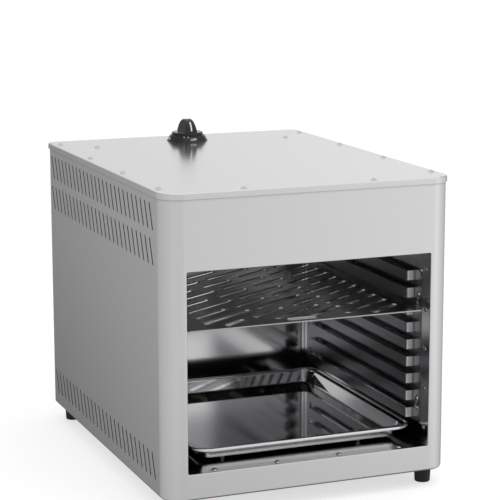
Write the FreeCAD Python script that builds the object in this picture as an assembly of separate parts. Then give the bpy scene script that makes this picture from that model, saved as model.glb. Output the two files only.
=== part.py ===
import FreeCAD, Part
import math
import os

# Gas steak oven: a sheet-steel box, open at the front, with a ceramic burner
# above the cavity, hung side racks, a perforated grate and a drip tray.
# Millimetres. X to the right, Y to the back, Z up. The origin is on the table,
# under the middle of the bounding box. The front of the oven faces -Y.

V = FreeCAD.Vector
X_AXIS = V(1, 0, 0)
Y_AXIS = V(0, 1, 0)
Z_AXIS = V(0, 0, 1)

# Body box
BODY_W = 365.8
BODY_D = 483.0
BODY_H = 362.8
SHEET = 1.0
FRONT_CORNER_R = 24.0
REAR_CORNER_R = 10.0
WRAP_BEND_R = 3.0
TOP_FLANGE_W = 14.0
BOTTOM_FLANGE_W = 30.0
REAR_FLANGE_W = 30.0
REAR_STRIP_H = 20.0

# Top cover
LID_T = 1.2
LID_OVER = 1.7
LID_LIP_H = 7.4
LID_EDGE_R = 2.2

# Front opening and its folded-in frame
OPEN_SIDE_BAND = 27.3
OPEN_TOP_BAND = 90.8
OPEN_BOTTOM = 32.0
OPEN_CORNER_R = 2.0
OPEN_EDGE_R = 1.2
FRAME_D = 21.5

# Side, rear and base vents
VENT_LOW_ROW = 33.7
VENT_MIDDLE_DROP = 71.7
VENT_TOP_DROP = 30.5
VENT_PITCH = 16.47
VENT_START = 45.4
VENT_REAR_BAND = 19.0
VENT_H = 31.3
VENT_W = 3.0
VENT_LEAN = 21.0
VENT_END_R = 1.47
BACK_VENT_LOW = 63.5
BACK_VENT_DROP = 118.2

# Cavity liner
REAR_BAY_D = 100.0
LINER_T = 0.8
LINER_FLANGE_W = 14.0
LINER_SCREW_OUT = 8.4
LINER_SCREW_FRONT = 60.0
LINER_SCREW_MIDDLE = 190.0
LINER_SCREW_REAR_GAP = 47.0
LINER_SCREW_END_H = 40.5
LINER_GAP = 0.3
BEND_R = 1.0
FLOOR_RIB_H = 3.4
FLOOR_RIB_W = 8.0
FLOOR_RIB_END_R = 3.6
FLOOR_RIB_EDGE_R = 1.2
FLOOR_RIB_ROOT = 0.1
FLOOR_RIB_X = 90.0
FLOOR_RIB_FRONT = 60.0
FLOOR_RIB_REAR_GAP = 27.0

# Feet, base and rear sheets
FOOT_H = 21.5
FOOT_TOP_R = 10.7
FOOT_BOTTOM_R = 9.5
FOOT_EDGE_R = 1.5
FOOT_INSET_X = 20.0
FOOT_INSET_Y = 28.0
FOOT_RECESS_R = 6.0
FOOT_RECESS_H = 12.0
BASE_T = 1.0
BASE_GAP = 2.2
BASE_SCREW_END = 90.0
BACK_T = 1.2
BACK_TOP_GAP = 7.5
BACK_SCREW_END = 26.0
SUPPORT_REAR_GAP = 57.0
SUPPORT_TOP_W = 36.0
SUPPORT_FOOT_W = 14.0
SUPPORT_SIDE_GAP = 16.6
SUPPORT_SCREW_INSET = 42.0
SUPPORT_T = 1.2

# Side racks
RACK_T = 1.0
RACK_TOP_GAP = 26.8
RACK_BOTTOM = 55.0
RACK_FRONT = 22.4
RACK_REAR_GAP = 11.0
RACK_CORNER_R = 10.0
RUNNER_TOP_GAP = 2.0
RUNNER_END_GAP = 1.5
RUNNER_PITCH = 21.67
RUNNER_H = 12.0
RUNNER_DEPTH = 10.0
RUNNER_FRONT = 43.0
RUNNER_REAR_GAP = 31.0
RUNNER_BEND_R = 1.2
REAR_WINDOW_L = 18.0
REAR_WINDOW_GAP = 7.0
REAR_WINDOW_H = 8.0
RACK_SCREW_FRONT_GAP = 9.9
RACK_SCREW_REAR_GAP = 14.0
RACK_SCREW_END_H = 29.7
KEYHOLE_W = 4.6
KEYHOLE_DROP = 11.0
KEYHOLE_R = 4.3

# Grate
GRATE_GAP_RIGHT = 3.1
GRATE_GAP_LEFT = 5.5
GRATE_FRONT = 9.0
GRATE_T = 1.5
GRATE_CORNER_R = 6.0
GRATE_LEVEL = 2
GRATE_SLOT_W = 9.0
GRATE_SLOT_ANGLE = 31.9
GRATE_LINE_PITCH = 29.6
GRATE_FIRST_LINE = 37.2
GRATE_MARGIN_RIGHT = 17.5
GRATE_MARGIN_LEFT = 27.5
GRATE_MARGIN_ENDS = 10.0
GRATE_LONG_GAP = 10.0
GRATE_SHORT_GAP = 14.0
GRATE_LONG_COUNT = 3
GRATE_SHORT_COUNT = 4
GRATE_SLOT_MIN = 22.0
GRATE_FILLER_X = -3.0
GRATE_FILLER_L = 30.0

# Drip tray
TRAY_GAP_RIGHT = 3.8
TRAY_GAP_LEFT = 15.9
TRAY_FRONT = 26.0
TRAY_REAR_GAP = 48.0
TRAY_H = 17.6
TRAY_T = 1.0
TRAY_RIM_W = 10.0
TRAY_RIM_R = 26.0
TRAY_CORNER_SHRINK = 0.8
TRAY_BEAD = 4.4
TRAY_BEAD_EDGE_R = 1.98
TRAY_DRAFT = 8.0
TRAY_BASE_R = 5.0

# Burner
BURNER_SIDE_GAP = 21.1
BURNER_FRONT = 48.0
BURNER_REAR_GAP = 32.0
BURNER_H = 46.0
BURNER_T = 1.0
BURNER_CORNER_R = 4.0
BURNER_FLANGE_W = 9.0
BURNER_SCREW_END = 27.0
PLAQUE_COLUMN_COUNT = 2
PLAQUE_ROW_COUNT = 3
PLAQUE_SIDE_GAP = 1.9
PLAQUE_END_GAP = 8.2
PLAQUE_H = 13.0
PLAQUE_GAP = 0.6
PLAQUE_FRONT_GAP = 10.0
PLAQUE_LEDGE = 4.0
PLAQUE_GROOVE = 1.6
PLAQUE_CELL_COUNT_X = 6
PLAQUE_CELL_COUNT_Y = 4
GASKET_T = 1.5
RETAINER_T = 1.2
RETAINER_W = 12.0
MIXER_R = 12.0
MIXER_WALL = 1.0
MIXER_UP = 31.0
MIXER_INSIDE_L = 145.0
MIXER_MOUTH_GAP = 15.0
BELL_R = 17.0
BELL_L = 14.0
SHIELD_SIDE_GAP = 1.5
SHIELD_UP = 56.0
SHIELD_FRONT = 40.0
SHIELD_REAR_GAP = 25.0
SHIELD_FOOT_W = 10.0
SHIELD_SCREW_END = 30.0

# Knob and dial ring
KNOB_X = 0.0
KNOB_REAR_GAP = 54.0
BEZEL_R = 28.2
BEZEL_TOP_R = 23.8
BEZEL_H = 7.7
BEZEL_BORE_R = 22.0
BEZEL_EDGE_R = 0.5
BEZEL_SCREW_D = 4.0
BEZEL_SCREW_GRIP = 3.5
BEZEL_HEAD_GAP = 0.6
KNOB_DISC_R = 21.4
KNOB_DISC_Z = (5.0, 12.0)
KNOB_DISC_EDGE_R = 1.5
KNOB_TOP = 29.5
KNOB_GRIP_W = 17.5
KNOB_GRIP_TOP_W = 11.5
KNOB_GRIP_L = 36.0
KNOB_GRIP_EDGE_R = 2.0
KNOB_HUB_R = 6.5
KNOB_HUB_Z = 3.0
LID_KNOB_HOLE_R = 8.0
STEM_R = 3.0
STEM_TOP = 20.0
STEM_L = 49.0
STEM_FLAT = 0.8
STEM_TOP_GAP = 0.2
STEM_END_GAP = 1.0
KNOB_TRAVEL = 4.0
COLLAR_R = 6.2
COLLAR_T = 2.0
SPRING_WIRE_R = 0.45
SPRING_R = 4.8
SPRING_TURNS = 5

# Valve, gas line and ignition
POCKET_R = 6.6
POCKET_D = 14.0
BRACKET_T = 1.5
BRACKET_REAR_GAP = 18.0
BRACKET_D = 70.0
BRACKET_SIDE_GAP = 30.0
BRACKET_LEG = 12.0
VALVE_W = 24.0
VALVE_H = 45.3
BONNET_W = 40.0
BONNET_T = 4.0
BONNET_CORNER_R = 5.0
BONNET_SCREW_INSET = 4.0
HOLDER_R = 7.0
HOLDER_ARM_R = 5.6
INJECTOR_GAP = 12.0
INJECTOR_HEX_R = 5.95
INJECTOR_HEX_T = 5.0
INJECTOR_CONE_R = 3.85
INJECTOR_CONE_L = 8.0
INJECTOR_R = 2.5
INJECTOR_BORE_R = 0.75
IGNITER_W = 14.0
IGNITER_D = 18.0
IGNITER_H = 28.0
IGNITER_DROP = 2.0
IGNITER_EDGE_R = 1.5
PIPE_R = 4.0
PIPE_WALL = 0.8
PIPE_X = 70.0
PIPE_BEND_R = 14.0
PIPE_DROP = 38.0
PIPE_BEHIND_KNOB = 3.0
PORT_D = 6.0
INLET_OUT = 14.0
INLET_R = 8.3
INLET_BORE_R = 3.6
INLET_HEX_R = 11.5
INLET_HEX_T = 4.0
INLET_INNER_L = 14.0
INLET_NUT_T = 5.0
INLET_CHAMFER = 0.8
SENSOR_REAR_GAP = 15.0
SENSOR_L = 34.0
SENSOR_COLLAR_W = 2.5
SENSOR_COLLAR_H = 3.0
SENSOR_BEND_R = 6.0
ELECTRODE_R = 3.5
ELECTRODE_UP = 18.0
ELECTRODE_WIRE_R = 0.9
ELECTRODE_WIRE_DROP = 6.0
ELECTRODE_WIRE_REACH = 26.0
ELECTRODE_WIRE_BEND_R = 4.0
PROBE_X = 24.0
PROBE_R = 2.5
PROBE_UP = 12.0
LEAD_R = 1.6
LEAD_BELL_GAP = 0.8
CAPILLARY_R = 1.0
CAPILLARY_ROW = 5.0

# Fasteners
LID_SCREW_FRONT = 41.0
LID_SCREW_SECOND = 174.0
LID_SCREW_THIRD = 308.0
LID_SCREW_REAR_GAP = 36.0
LID_SCREW_INSET = 8.4
LID_SCREW_FRONT_X = 82.0
LID_SCREW_FRONT_Y = 9.0
LID_SCREW_INNER_INSET = 17.0
LID_SCREW_INNER_EDGE = 10.0
RIVET_COUNT = 5
RIVET_LOW_GAP = 20.7
RIVET_HIGH_GAP = 21.7
RIVET_Y = 13.5
FRAME_SCREW_Y = 9.0
FLOOR_SCREW_PITCH = 80.0
FLOOR_SCREW_COUNT = 4
M4_SHANK_R = 2.0
M4_HEAD_R = 3.9
M4_HEAD_H = 2.0
M5_SHANK_R = 2.5
M5_HEAD_R = 4.7
M5_HEAD_H = 3.0
M5_NUT_R = 4.6
M5_NUT_H = 4.0
M3_SHANK_R = 1.25
M3_HEAD_R = 2.4
M3_HEAD_H = 1.4
CROSS_REACH = 0.62
CROSS_HALF_W = 0.13
CROSS_FLOOR = 0.45
SHANK_SINK = 0.2
THREAD_PAST = 3.0
THREAD_PAST_SHORT = 1.5
THREAD_PAST_NUT = 1.0
THREAD_END_GAP = 0.1
RIVET_HEAD_R = 3.8
RIVET_HEAD_H = 1.5
RIVET_DIMPLE_R = 0.9
RIVET_DIMPLE_D = 0.5
RIVET_SWELL_R = 2.8
RIVET_SWELL_H = 2.4

# Clearances: round a fixed screw, and in a running fit
HOLE_GAP = 0.1
RUN_GAP = 0.05

# How far a cut runs past the sheet it cuts, and how exactly an edge's place is read
PAST = 1.0
TOLERANCE = 1e-4

# Derived places
HALF_W = BODY_W / 2.0
FRONT_Y = LID_OVER - (LID_OVER + BODY_D + INLET_OUT) / 2.0
WRAP_D = BODY_D - BACK_T
CAVITY_D = BODY_D - REAR_BAY_D
OPEN_HALF = HALF_W - OPEN_SIDE_BAND
OPEN_TOP = BODY_H - OPEN_TOP_BAND
LINER_X = OPEN_HALF + SHEET
FLOOR_TOP = OPEN_BOTTOM - SHEET
CEILING_BOTTOM = OPEN_TOP + SHEET
CEILING_TOP = CEILING_BOTTOM + LINER_T
LINER_REACH = LINER_X + LINER_FLANGE_W
LINER_SCREW_X = LINER_X + LINER_SCREW_OUT
LINER_SCREW_Y = (LINER_SCREW_FRONT, LINER_SCREW_MIDDLE, CAVITY_D - LINER_SCREW_REAR_GAP)
LINER_BACK_SCREW_Z = (
    FLOOR_TOP + LINER_SCREW_END_H, (FLOOR_TOP + CEILING_BOTTOM) / 2.0, CEILING_BOTTOM - LINER_SCREW_END_H)
LID_TOP = BODY_H + LID_T
LID_SCREW_SIDE_Y = (LID_SCREW_FRONT, LID_SCREW_SECOND, LID_SCREW_THIRD, BODY_D - LID_SCREW_REAR_GAP)
VENT_ROWS = (VENT_LOW_ROW, BODY_H - VENT_MIDDLE_DROP, BODY_H - VENT_TOP_DROP)
VENT_COUNT = int((BODY_D - VENT_REAR_BAND - VENT_START) // VENT_PITCH) + 1
BACK_VENT_ROWS = (BACK_VENT_LOW, BODY_H - BACK_VENT_DROP)
BACK_SCREW_Z = (BACK_SCREW_END, BODY_H / 2.0, BODY_H - BACK_SCREW_END)
BASE_SCREW_Y = (BASE_SCREW_END, BODY_D / 2.0, BODY_D - BASE_SCREW_END)
BASE_TOP = SHEET + BASE_T
FOOT_Y = (FOOT_INSET_Y, BODY_D - FOOT_INSET_Y)
FOOT_X = HALF_W - FOOT_INSET_X
SUPPORT_Y = CAVITY_D - SUPPORT_REAR_GAP
SUPPORT_HALF_X = LINER_X - SUPPORT_SIDE_GAP
SUPPORT_SCREW_X = SUPPORT_HALF_X - SUPPORT_SCREW_INSET
RACK_TOP = OPEN_TOP - RACK_TOP_GAP
RACK_REAR = CAVITY_D - RACK_REAR_GAP
RACK_SCREW_Y = (RACK_FRONT + RACK_SCREW_FRONT_GAP, RACK_REAR - RACK_SCREW_REAR_GAP)
RACK_SCREW_Z = (RACK_BOTTOM + RACK_SCREW_END_H, RACK_TOP - RACK_SCREW_END_H)
RUNNER_TOP = RACK_TOP - RUNNER_TOP_GAP
RUNNER_COUNT = int((RUNNER_TOP - RUNNER_H - RUNNER_END_GAP - RACK_BOTTOM) // RUNNER_PITCH) + 1
RUNNER_REAR = RACK_REAR - RUNNER_REAR_GAP
REAR_WINDOW_END = RACK_REAR - REAR_WINDOW_GAP
REAR_WINDOW_Y = (REAR_WINDOW_END - REAR_WINDOW_L, REAR_WINDOW_END)
GRATE_LEFT = GRATE_GAP_LEFT - OPEN_HALF
GRATE_RIGHT = OPEN_HALF - GRATE_GAP_RIGHT
GRATE_REAR = RUNNER_REAR
GRATE_BOTTOM = RUNNER_TOP - GRATE_LEVEL * RUNNER_PITCH
TRAY_LEFT = TRAY_GAP_LEFT - OPEN_HALF
TRAY_RIGHT = OPEN_HALF - TRAY_GAP_RIGHT
TRAY_REAR = CAVITY_D - TRAY_REAR_GAP
TRAY_BOTTOM = FLOOR_TOP + FLOOR_RIB_H
BURNER_HALF_X = LINER_X - BURNER_SIDE_GAP
BURNER_REAR = CAVITY_D - BURNER_REAR_GAP
BURNER_SCREW_Y = (
    BURNER_FRONT + BURNER_SCREW_END, (BURNER_FRONT + BURNER_REAR) / 2.0, BURNER_REAR - BURNER_SCREW_END)
PLAQUE_FRONT = BURNER_FRONT + PLAQUE_FRONT_GAP
PLAQUE_FIELD_X = BURNER_HALF_X - BURNER_T - PLAQUE_SIDE_GAP
PLAQUE_FIELD_L = BURNER_REAR - BURNER_T - PLAQUE_END_GAP - PLAQUE_FRONT
PLAQUE_X = PLAQUE_FIELD_X - PLAQUE_GAP
PLAQUE_Y = PLAQUE_FIELD_L / PLAQUE_ROW_COUNT - PLAQUE_GAP
PLAQUE_BOTTOM = CEILING_TOP + GASKET_T
MIXER_Z = CEILING_TOP + MIXER_UP
MIXER_FRONT = BURNER_REAR - MIXER_INSIDE_L
MIXER_MOUTH = CAVITY_D + MIXER_MOUTH_GAP
SHIELD_HALF_X = BURNER_HALF_X + BURNER_FLANGE_W + SHIELD_SIDE_GAP
SHIELD_REAR = CAVITY_D - SHIELD_REAR_GAP
SHIELD_SCREW_Y = (SHIELD_FRONT + SHIELD_SCREW_END, SHIELD_REAR - SHIELD_SCREW_END)
KNOB_Y = BODY_D - KNOB_REAR_GAP
ELECTRODE_X = KNOB_X - BELL_R - LEAD_R - LEAD_BELL_GAP
BRACKET_REAR = BODY_D - BRACKET_REAR_GAP
BRACKET_FRONT = BRACKET_REAR - BRACKET_D
BRACKET_HALF_X = HALF_W - BRACKET_SIDE_GAP
VALVE_TOP = BODY_H - BRACKET_T
VALVE_BOTTOM = VALVE_TOP - VALVE_H
VALVE_X = (KNOB_X - VALVE_W / 2.0, KNOB_X + VALVE_W / 2.0)
VALVE_Y = (KNOB_Y - VALVE_W / 2.0, KNOB_Y + VALVE_W / 2.0)
INJECTOR_REAR = MIXER_MOUTH + INJECTOR_GAP
IGNITER_TOP = VALVE_TOP - BONNET_T - IGNITER_DROP
PIPE_Y = KNOB_Y + PIPE_BEHIND_KNOB
PIPE_Z = LID_TOP - PIPE_DROP
SENSOR_Y = CAVITY_D - SENSOR_REAR_GAP
RIVET_PITCH = (OPEN_TOP - OPEN_BOTTOM - RIVET_LOW_GAP - RIVET_HIGH_GAP) / (RIVET_COUNT - 1)


def back(depth):
    """World Y of a point some depth behind the front face."""
    return FRONT_Y + depth


def up(height):
    """World Z of a point some height above the lower edge of the body."""
    return FOOT_H + height


def box(x, y, z):
    """Block between three pairs of limits."""
    size = [b - a for a, b in (x, y, z)]
    return Part.makeBox(size[0], size[1], size[2], V(x[0], y[0], z[0]))


def cylinder(radius, start, axis, length):
    return Part.makeCylinder(radius, length, start, axis)


def fused(shapes):
    """One solid, with its seams removed."""
    whole = shapes[0]
    if len(shapes) > 1:
        whole = shapes[0].fuse(shapes[1:])
    return whole.removeSplitter()


def mirrored(shape):
    return shape.mirror(V(0, 0, 0), X_AXIS)


def corner_arc(before, corner, after, radius):
    """Start, middle and end of the arc that rounds a corner."""
    to_before = (before - corner).normalize()
    to_after = (after - corner).normalize()
    half = to_before.getAngle(to_after) / 2.0
    reach = radius / math.tan(half)
    bisector = (to_before + to_after).normalize()
    middle = corner + bisector * (radius / math.sin(half) - radius)
    return corner + to_before * reach, middle, corner + to_after * reach


def rounded_face(points, radii):
    """Face inside a closed outline, each corner rounded by its radius."""
    count = len(points)
    corners = []
    for i in range(count):
        if radii[i] > 0:
            corners.append(corner_arc(points[i - 1], points[i], points[(i + 1) % count], radii[i]))
        else:
            corners.append((points[i], None, points[i]))
    edges = []
    for i in range(count):
        start, middle, end = corners[i]
        if middle is not None:
            edges.append(Part.Arc(start, middle, end).toShape())
        following = corners[(i + 1) % count][0]
        if (following - end).Length > 1e-6:
            edges.append(Part.LineSegment(end, following).toShape())
    return Part.Face(Part.Wire(edges))


def rounded_slab(x, y, z, radii):
    """Upright block with rounded upright edges: front left, front right, rear right, rear left."""
    points = [V(x[0], y[0], z[0]), V(x[1], y[0], z[0]), V(x[1], y[1], z[0]), V(x[0], y[1], z[0])]
    return rounded_face(points, radii).extrude(V(0, 0, z[1] - z[0]))


def bent_sheet(points, thickness, bend, place, sweep):
    """Folded sheet: a polyline in a plane, its thickness to the left, swept to its width."""
    flat = [V(u, v, 0) for u, v in points]
    runs = [(b - a).normalize() for a, b in zip(flat, flat[1:])]
    lefts = [V(-run.y, run.x, 0) for run in runs]
    offset = [flat[0] + lefts[0] * thickness]
    near = [0.0]
    far = [0.0]
    for i in range(1, len(runs)):
        joint = (lefts[i - 1] + lefts[i]) * (thickness / (1.0 + lefts[i - 1].dot(lefts[i])))
        offset.append(flat[i] + joint)
        turns_left = runs[i - 1].cross(runs[i]).z > 0
        near.append(bend + thickness if turns_left else bend)
        far.append(bend if turns_left else bend + thickness)
    offset.append(flat[-1] + lefts[-1] * thickness)
    near.append(0.0)
    far.append(0.0)
    outline = [place(p.x, p.y) for p in flat + offset[::-1]]
    return rounded_face(outline, near + far[::-1]).extrude(sweep)


def bent_tube(points, radius, bend, wall=0.0):
    """Round tube or rod along straight runs joined by arcs."""
    edges = []
    start = points[0]
    for before, corner, after in zip(points, points[1:], points[2:]):
        arc_start, middle, arc_end = corner_arc(before, corner, after, bend)
        edges.append(Part.LineSegment(start, arc_start).toShape())
        edges.append(Part.Arc(arc_start, middle, arc_end).toShape())
        start = arc_end
    edges.append(Part.LineSegment(start, points[-1]).toShape())
    path = Part.Wire(edges)
    heading = points[1] - points[0]
    rod = path.makePipeShell([Part.Wire(Part.makeCircle(radius, points[0], heading))], True, True)
    if wall == 0.0:
        return rod
    bore = path.makePipeShell([Part.Wire(Part.makeCircle(radius - wall, points[0], heading))], True, True)
    return rod.cut(bore)


def set_at(shape, point, axis):
    """Move a piece made along +Z to a point, turned to an axis."""
    shape.Placement = FreeCAD.Placement(point, FreeCAD.Rotation(Z_AXIS, axis))
    return shape


def domed_head(radius, height):
    """Low round head standing on its flat face."""
    ball_r = (radius * radius + height * height) / (2.0 * height)
    ball = Part.makeSphere(ball_r, V(0, 0, height - ball_r))
    return ball.common(cylinder(radius, V(0, 0, 0), Z_AXIS, height))


def screw(point, axis, head_r, head_h, shank_r, length):
    """Cross-slotted screw: head outside along the axis, shank the other way."""
    head = domed_head(head_r, head_h)
    slot_l = head_r * CROSS_REACH
    slot_w = head_r * CROSS_HALF_W
    for x, y in ((slot_l, slot_w), (slot_w, slot_l)):
        head = head.cut(box((-x, x), (-y, y), (head_h * CROSS_FLOOR, head_h + PAST)))
    whole = fused([head, cylinder(shank_r, V(0, 0, -length), Z_AXIS, length + head_h * SHANK_SINK)])
    return set_at(whole, point, axis)


def rivet(point, axis, grip):
    """Blind rivet: domed head, shank and the swell behind the sheets."""
    head = domed_head(RIVET_HEAD_R, RIVET_HEAD_H)
    dimple = cylinder(RIVET_DIMPLE_R, V(0, 0, RIVET_HEAD_H - RIVET_DIMPLE_D), Z_AXIS, PAST)
    shank = cylinder(M4_SHANK_R, V(0, 0, -grip), Z_AXIS, grip + RIVET_HEAD_H * SHANK_SINK)
    swell = domed_head(RIVET_SWELL_R, RIVET_SWELL_H).mirror(V(0, 0, 0), Z_AXIS)
    swell.translate(V(0, 0, -grip))
    return set_at(fused([head.cut(dimple), shank, swell]), point, axis)


def hex_nut(point, axis, radius, height, bore_r):
    corners = []
    for i in range(6):
        angle = math.radians(60 * i)
        corners.append(V(radius * math.cos(angle), radius * math.sin(angle), 0))
    block = rounded_face(corners, [0.0] * 6).extrude(V(0, 0, height))
    return set_at(block.cut(cylinder(bore_r, V(0, 0, -PAST), Z_AXIS, height + 2 * PAST)), point, axis)


def slot(centre, width, length, lean, depth):
    """Long hole with round ends, cut along X, leaning back at its top."""
    half = length / 2.0 - width / 2.0
    run = V(0, math.sin(math.radians(lean)), math.cos(math.radians(lean)))
    side = V(0, run.z, -run.y)
    reach = half / run.z
    top = centre + run * reach
    bottom = centre - run * reach
    edges = [
        Part.LineSegment(bottom + side * (width / 2), top + side * (width / 2)).toShape(),
        Part.Arc(top + side * (width / 2), top + run * (width / 2), top - side * (width / 2)).toShape(),
        Part.LineSegment(top - side * (width / 2), bottom - side * (width / 2)).toShape(),
        Part.Arc(bottom - side * (width / 2), bottom - run * (width / 2),
                 bottom + side * (width / 2)).toShape(),
    ]
    return Part.Face(Part.Wire(edges)).extrude(V(depth, 0, 0))


def lid_screw_places():
    places = []
    for depth in LID_SCREW_SIDE_Y:
        places.append((HALF_W - LID_SCREW_INSET, depth))
        places.append((-HALF_W + LID_SCREW_INSET, depth))
    for side in (-1, 1):
        places.append((side * LID_SCREW_FRONT_X, LID_SCREW_FRONT_Y))
    return places


def lid_inner_places():
    reach = BRACKET_HALF_X - LID_SCREW_INNER_INSET
    return [(side * reach, BRACKET_FRONT + LID_SCREW_INNER_EDGE) for side in (-1, 1)]


def rivet_heights():
    return [OPEN_BOTTOM + RIVET_LOW_GAP + RIVET_PITCH * i for i in range(RIVET_COUNT)]


def frame_screw_x():
    first = -FLOOR_SCREW_PITCH * (FLOOR_SCREW_COUNT - 1) / 2.0
    return [first + FLOOR_SCREW_PITCH * i for i in range(FLOOR_SCREW_COUNT)]


def foot_places():
    return [(side * FOOT_X, depth) for depth in FOOT_Y for side in (-1, 1)]


def base_screw_places():
    reach = HALF_W - BOTTOM_FLANGE_W / 2.0
    return [(side * reach, depth) for depth in BASE_SCREW_Y for side in (-1, 1)]


def support_screw_places():
    foot = SUPPORT_FOOT_W / 2.0
    rows = (SUPPORT_Y - foot, SUPPORT_Y + SUPPORT_TOP_W + foot)
    return [(side * SUPPORT_SCREW_X, depth) for depth in rows for side in (-1, 1)]


def support_top_places():
    return [(side * SUPPORT_SCREW_X, SUPPORT_Y + SUPPORT_TOP_W / 2.0) for side in (-1, 1)]


def back_screw_places():
    reach = HALF_W - REAR_FLANGE_W / 2.0
    return [(side * reach, height) for height in BACK_SCREW_Z for side in (-1, 1)]


def holes_down(places, low, high, radius=M4_SHANK_R + HOLE_GAP):
    """Upright drillings through the sheets between two heights."""
    length = high - low + 2 * PAST
    return [cylinder(radius, V(x, back(depth), up(low) - PAST), Z_AXIS, length) for x, depth in places]


def holes_back(places, near, far, radius=M4_SHANK_R + HOLE_GAP):
    """Drillings along Y through the sheets between two depths, at places given by X and height."""
    length = far - near + 2 * PAST
    return [cylinder(radius, V(x, back(near) - PAST, up(height)), Y_AXIS, length) for x, height in places]


def holes_side(places, near, far, radius=M4_SHANK_R + HOLE_GAP):
    """Drillings along +X through the sheets between two distances, at places given by depth and height."""
    start = near - PAST
    length = far - near + 2 * PAST
    return [cylinder(radius, V(start, back(depth), up(height)), X_AXIS, length) for depth, height in places]


def side_vents():
    """Leaning slots of one side panel, three rows, through the right wall."""
    cuts = []
    for height in VENT_ROWS:
        for i in range(VENT_COUNT):
            centre = V(HALF_W - SHEET - PAST, back(VENT_START + VENT_PITCH * i), up(height))
            cuts.append(slot(centre, VENT_W, VENT_H, VENT_LEAN, SHEET + 2 * PAST))
    return cuts


def wrap_block(inset, low, high):
    """Solid inside the wrap at a distance from its outer skin."""
    radii = [FRONT_CORNER_R - inset] * 2 + [REAR_CORNER_R - inset] * 2
    x = (-HALF_W + inset, HALF_W - inset)
    return rounded_slab(x, (back(inset), back(WRAP_D - inset)), (up(low), up(high)), radii)


def inside_wrap(shape):
    """What of a sheet lies clear of the wrap's rounded corners."""
    return shape.common(wrap_block(SHEET + LINER_GAP, 0.0, BODY_H))


def flange_window(width, low, high):
    """Hole that leaves a flange of one width round the wrap."""
    x = (-HALF_W + width, HALF_W - width)
    return box(x, (back(width), back(WRAP_D - width)), (up(low) - PAST, up(high) + PAST))


def opening_tunnel(inset, near, far):
    """Rounded block through the front opening, grown by an inset."""
    x = OPEN_HALF + inset
    low = up(OPEN_BOTTOM - inset)
    high = up(OPEN_TOP + inset)
    points = [V(-x, back(near), low), V(x, back(near), low), V(x, back(near), high), V(-x, back(near), high)]
    return rounded_face(points, [OPEN_CORNER_R + inset] * 4).extrude(V(0, far - near, 0))


def edges_at(shape, test):
    """Edges whose ends and middle all pass a test."""
    chosen = []
    for edge in shape.Edges:
        middle = edge.valueAt((edge.FirstParameter + edge.LastParameter) / 2.0)
        if all(test(p) for p in [vertex.Point for vertex in edge.Vertexes] + [middle]):
            chosen.append(edge)
    return chosen


def round_ends(shape, low, high, radius):
    """Round the rims of an upright block at both its ends."""
    shape = shape.makeFillet(radius, edges_at(shape, lambda p: abs(p.z - up(low)) < TOLERANCE))
    return shape.makeFillet(radius, edges_at(shape, lambda p: abs(p.z - up(high)) < TOLERANCE))


def outer_wrap():
    """Front and both sides in one sheet, folded in at the top, bottom, rear and opening."""
    skin = wrap_block(0.0, 0.0, BODY_H)
    skin = round_ends(skin, 0.0, BODY_H, WRAP_BEND_R)
    hollow = wrap_block(SHEET, SHEET, BODY_H - SHEET)
    hollow = round_ends(hollow, SHEET, BODY_H - SHEET, WRAP_BEND_R - SHEET)
    shell = skin.cut(hollow)
    rear_x = HALF_W - REAR_FLANGE_W
    shell = shell.cut([
        flange_window(BOTTOM_FLANGE_W, 0.0, SHEET),
        flange_window(TOP_FLANGE_W, BODY_H - SHEET, BODY_H),
        box((-rear_x, rear_x), (back(WRAP_D - SHEET) - PAST, back(WRAP_D) + PAST),
            (up(REAR_STRIP_H), up(BODY_H - REAR_STRIP_H))),
    ])
    shell = shell.fuse(opening_tunnel(SHEET, 0.0, FRAME_D))
    shell = shell.cut(opening_tunnel(0.0, -PAST, FRAME_D + PAST)).removeSplitter()

    def on_opening(p):
        across = abs(p.x) < OPEN_HALF + TOLERANCE
        inside = up(OPEN_BOTTOM) - TOLERANCE < p.z < up(OPEN_TOP) + TOLERANCE
        return across and inside and abs(p.y - FRONT_Y) < TOLERANCE

    shell = shell.makeFillet(OPEN_EDGE_R, edges_at(shell, on_opening))
    right_vents = side_vents()
    cuts = right_vents + [mirrored(cut) for cut in right_vents]
    cuts += holes_down(lid_screw_places(), BODY_H - SHEET, BODY_H)
    cuts += holes_down(base_screw_places(), 0.0, SHEET)
    cuts += holes_down(foot_places(), 0.0, SHEET, M5_SHANK_R + HOLE_GAP)
    cuts += holes_back(back_screw_places(), WRAP_D - SHEET, WRAP_D)
    frame_sides = [(RIVET_Y, height) for height in rivet_heights()]
    right_rivets = holes_side(frame_sides, OPEN_HALF, LINER_X)
    cuts += right_rivets + [mirrored(cut) for cut in right_rivets]
    frame_rows = [(x, FRAME_SCREW_Y) for x in frame_screw_x()]
    cuts += holes_down(frame_rows, OPEN_BOTTOM - SHEET, OPEN_BOTTOM)
    cuts += holes_down(frame_rows, OPEN_TOP, OPEN_TOP + SHEET)
    return shell.cut(cuts)


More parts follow.
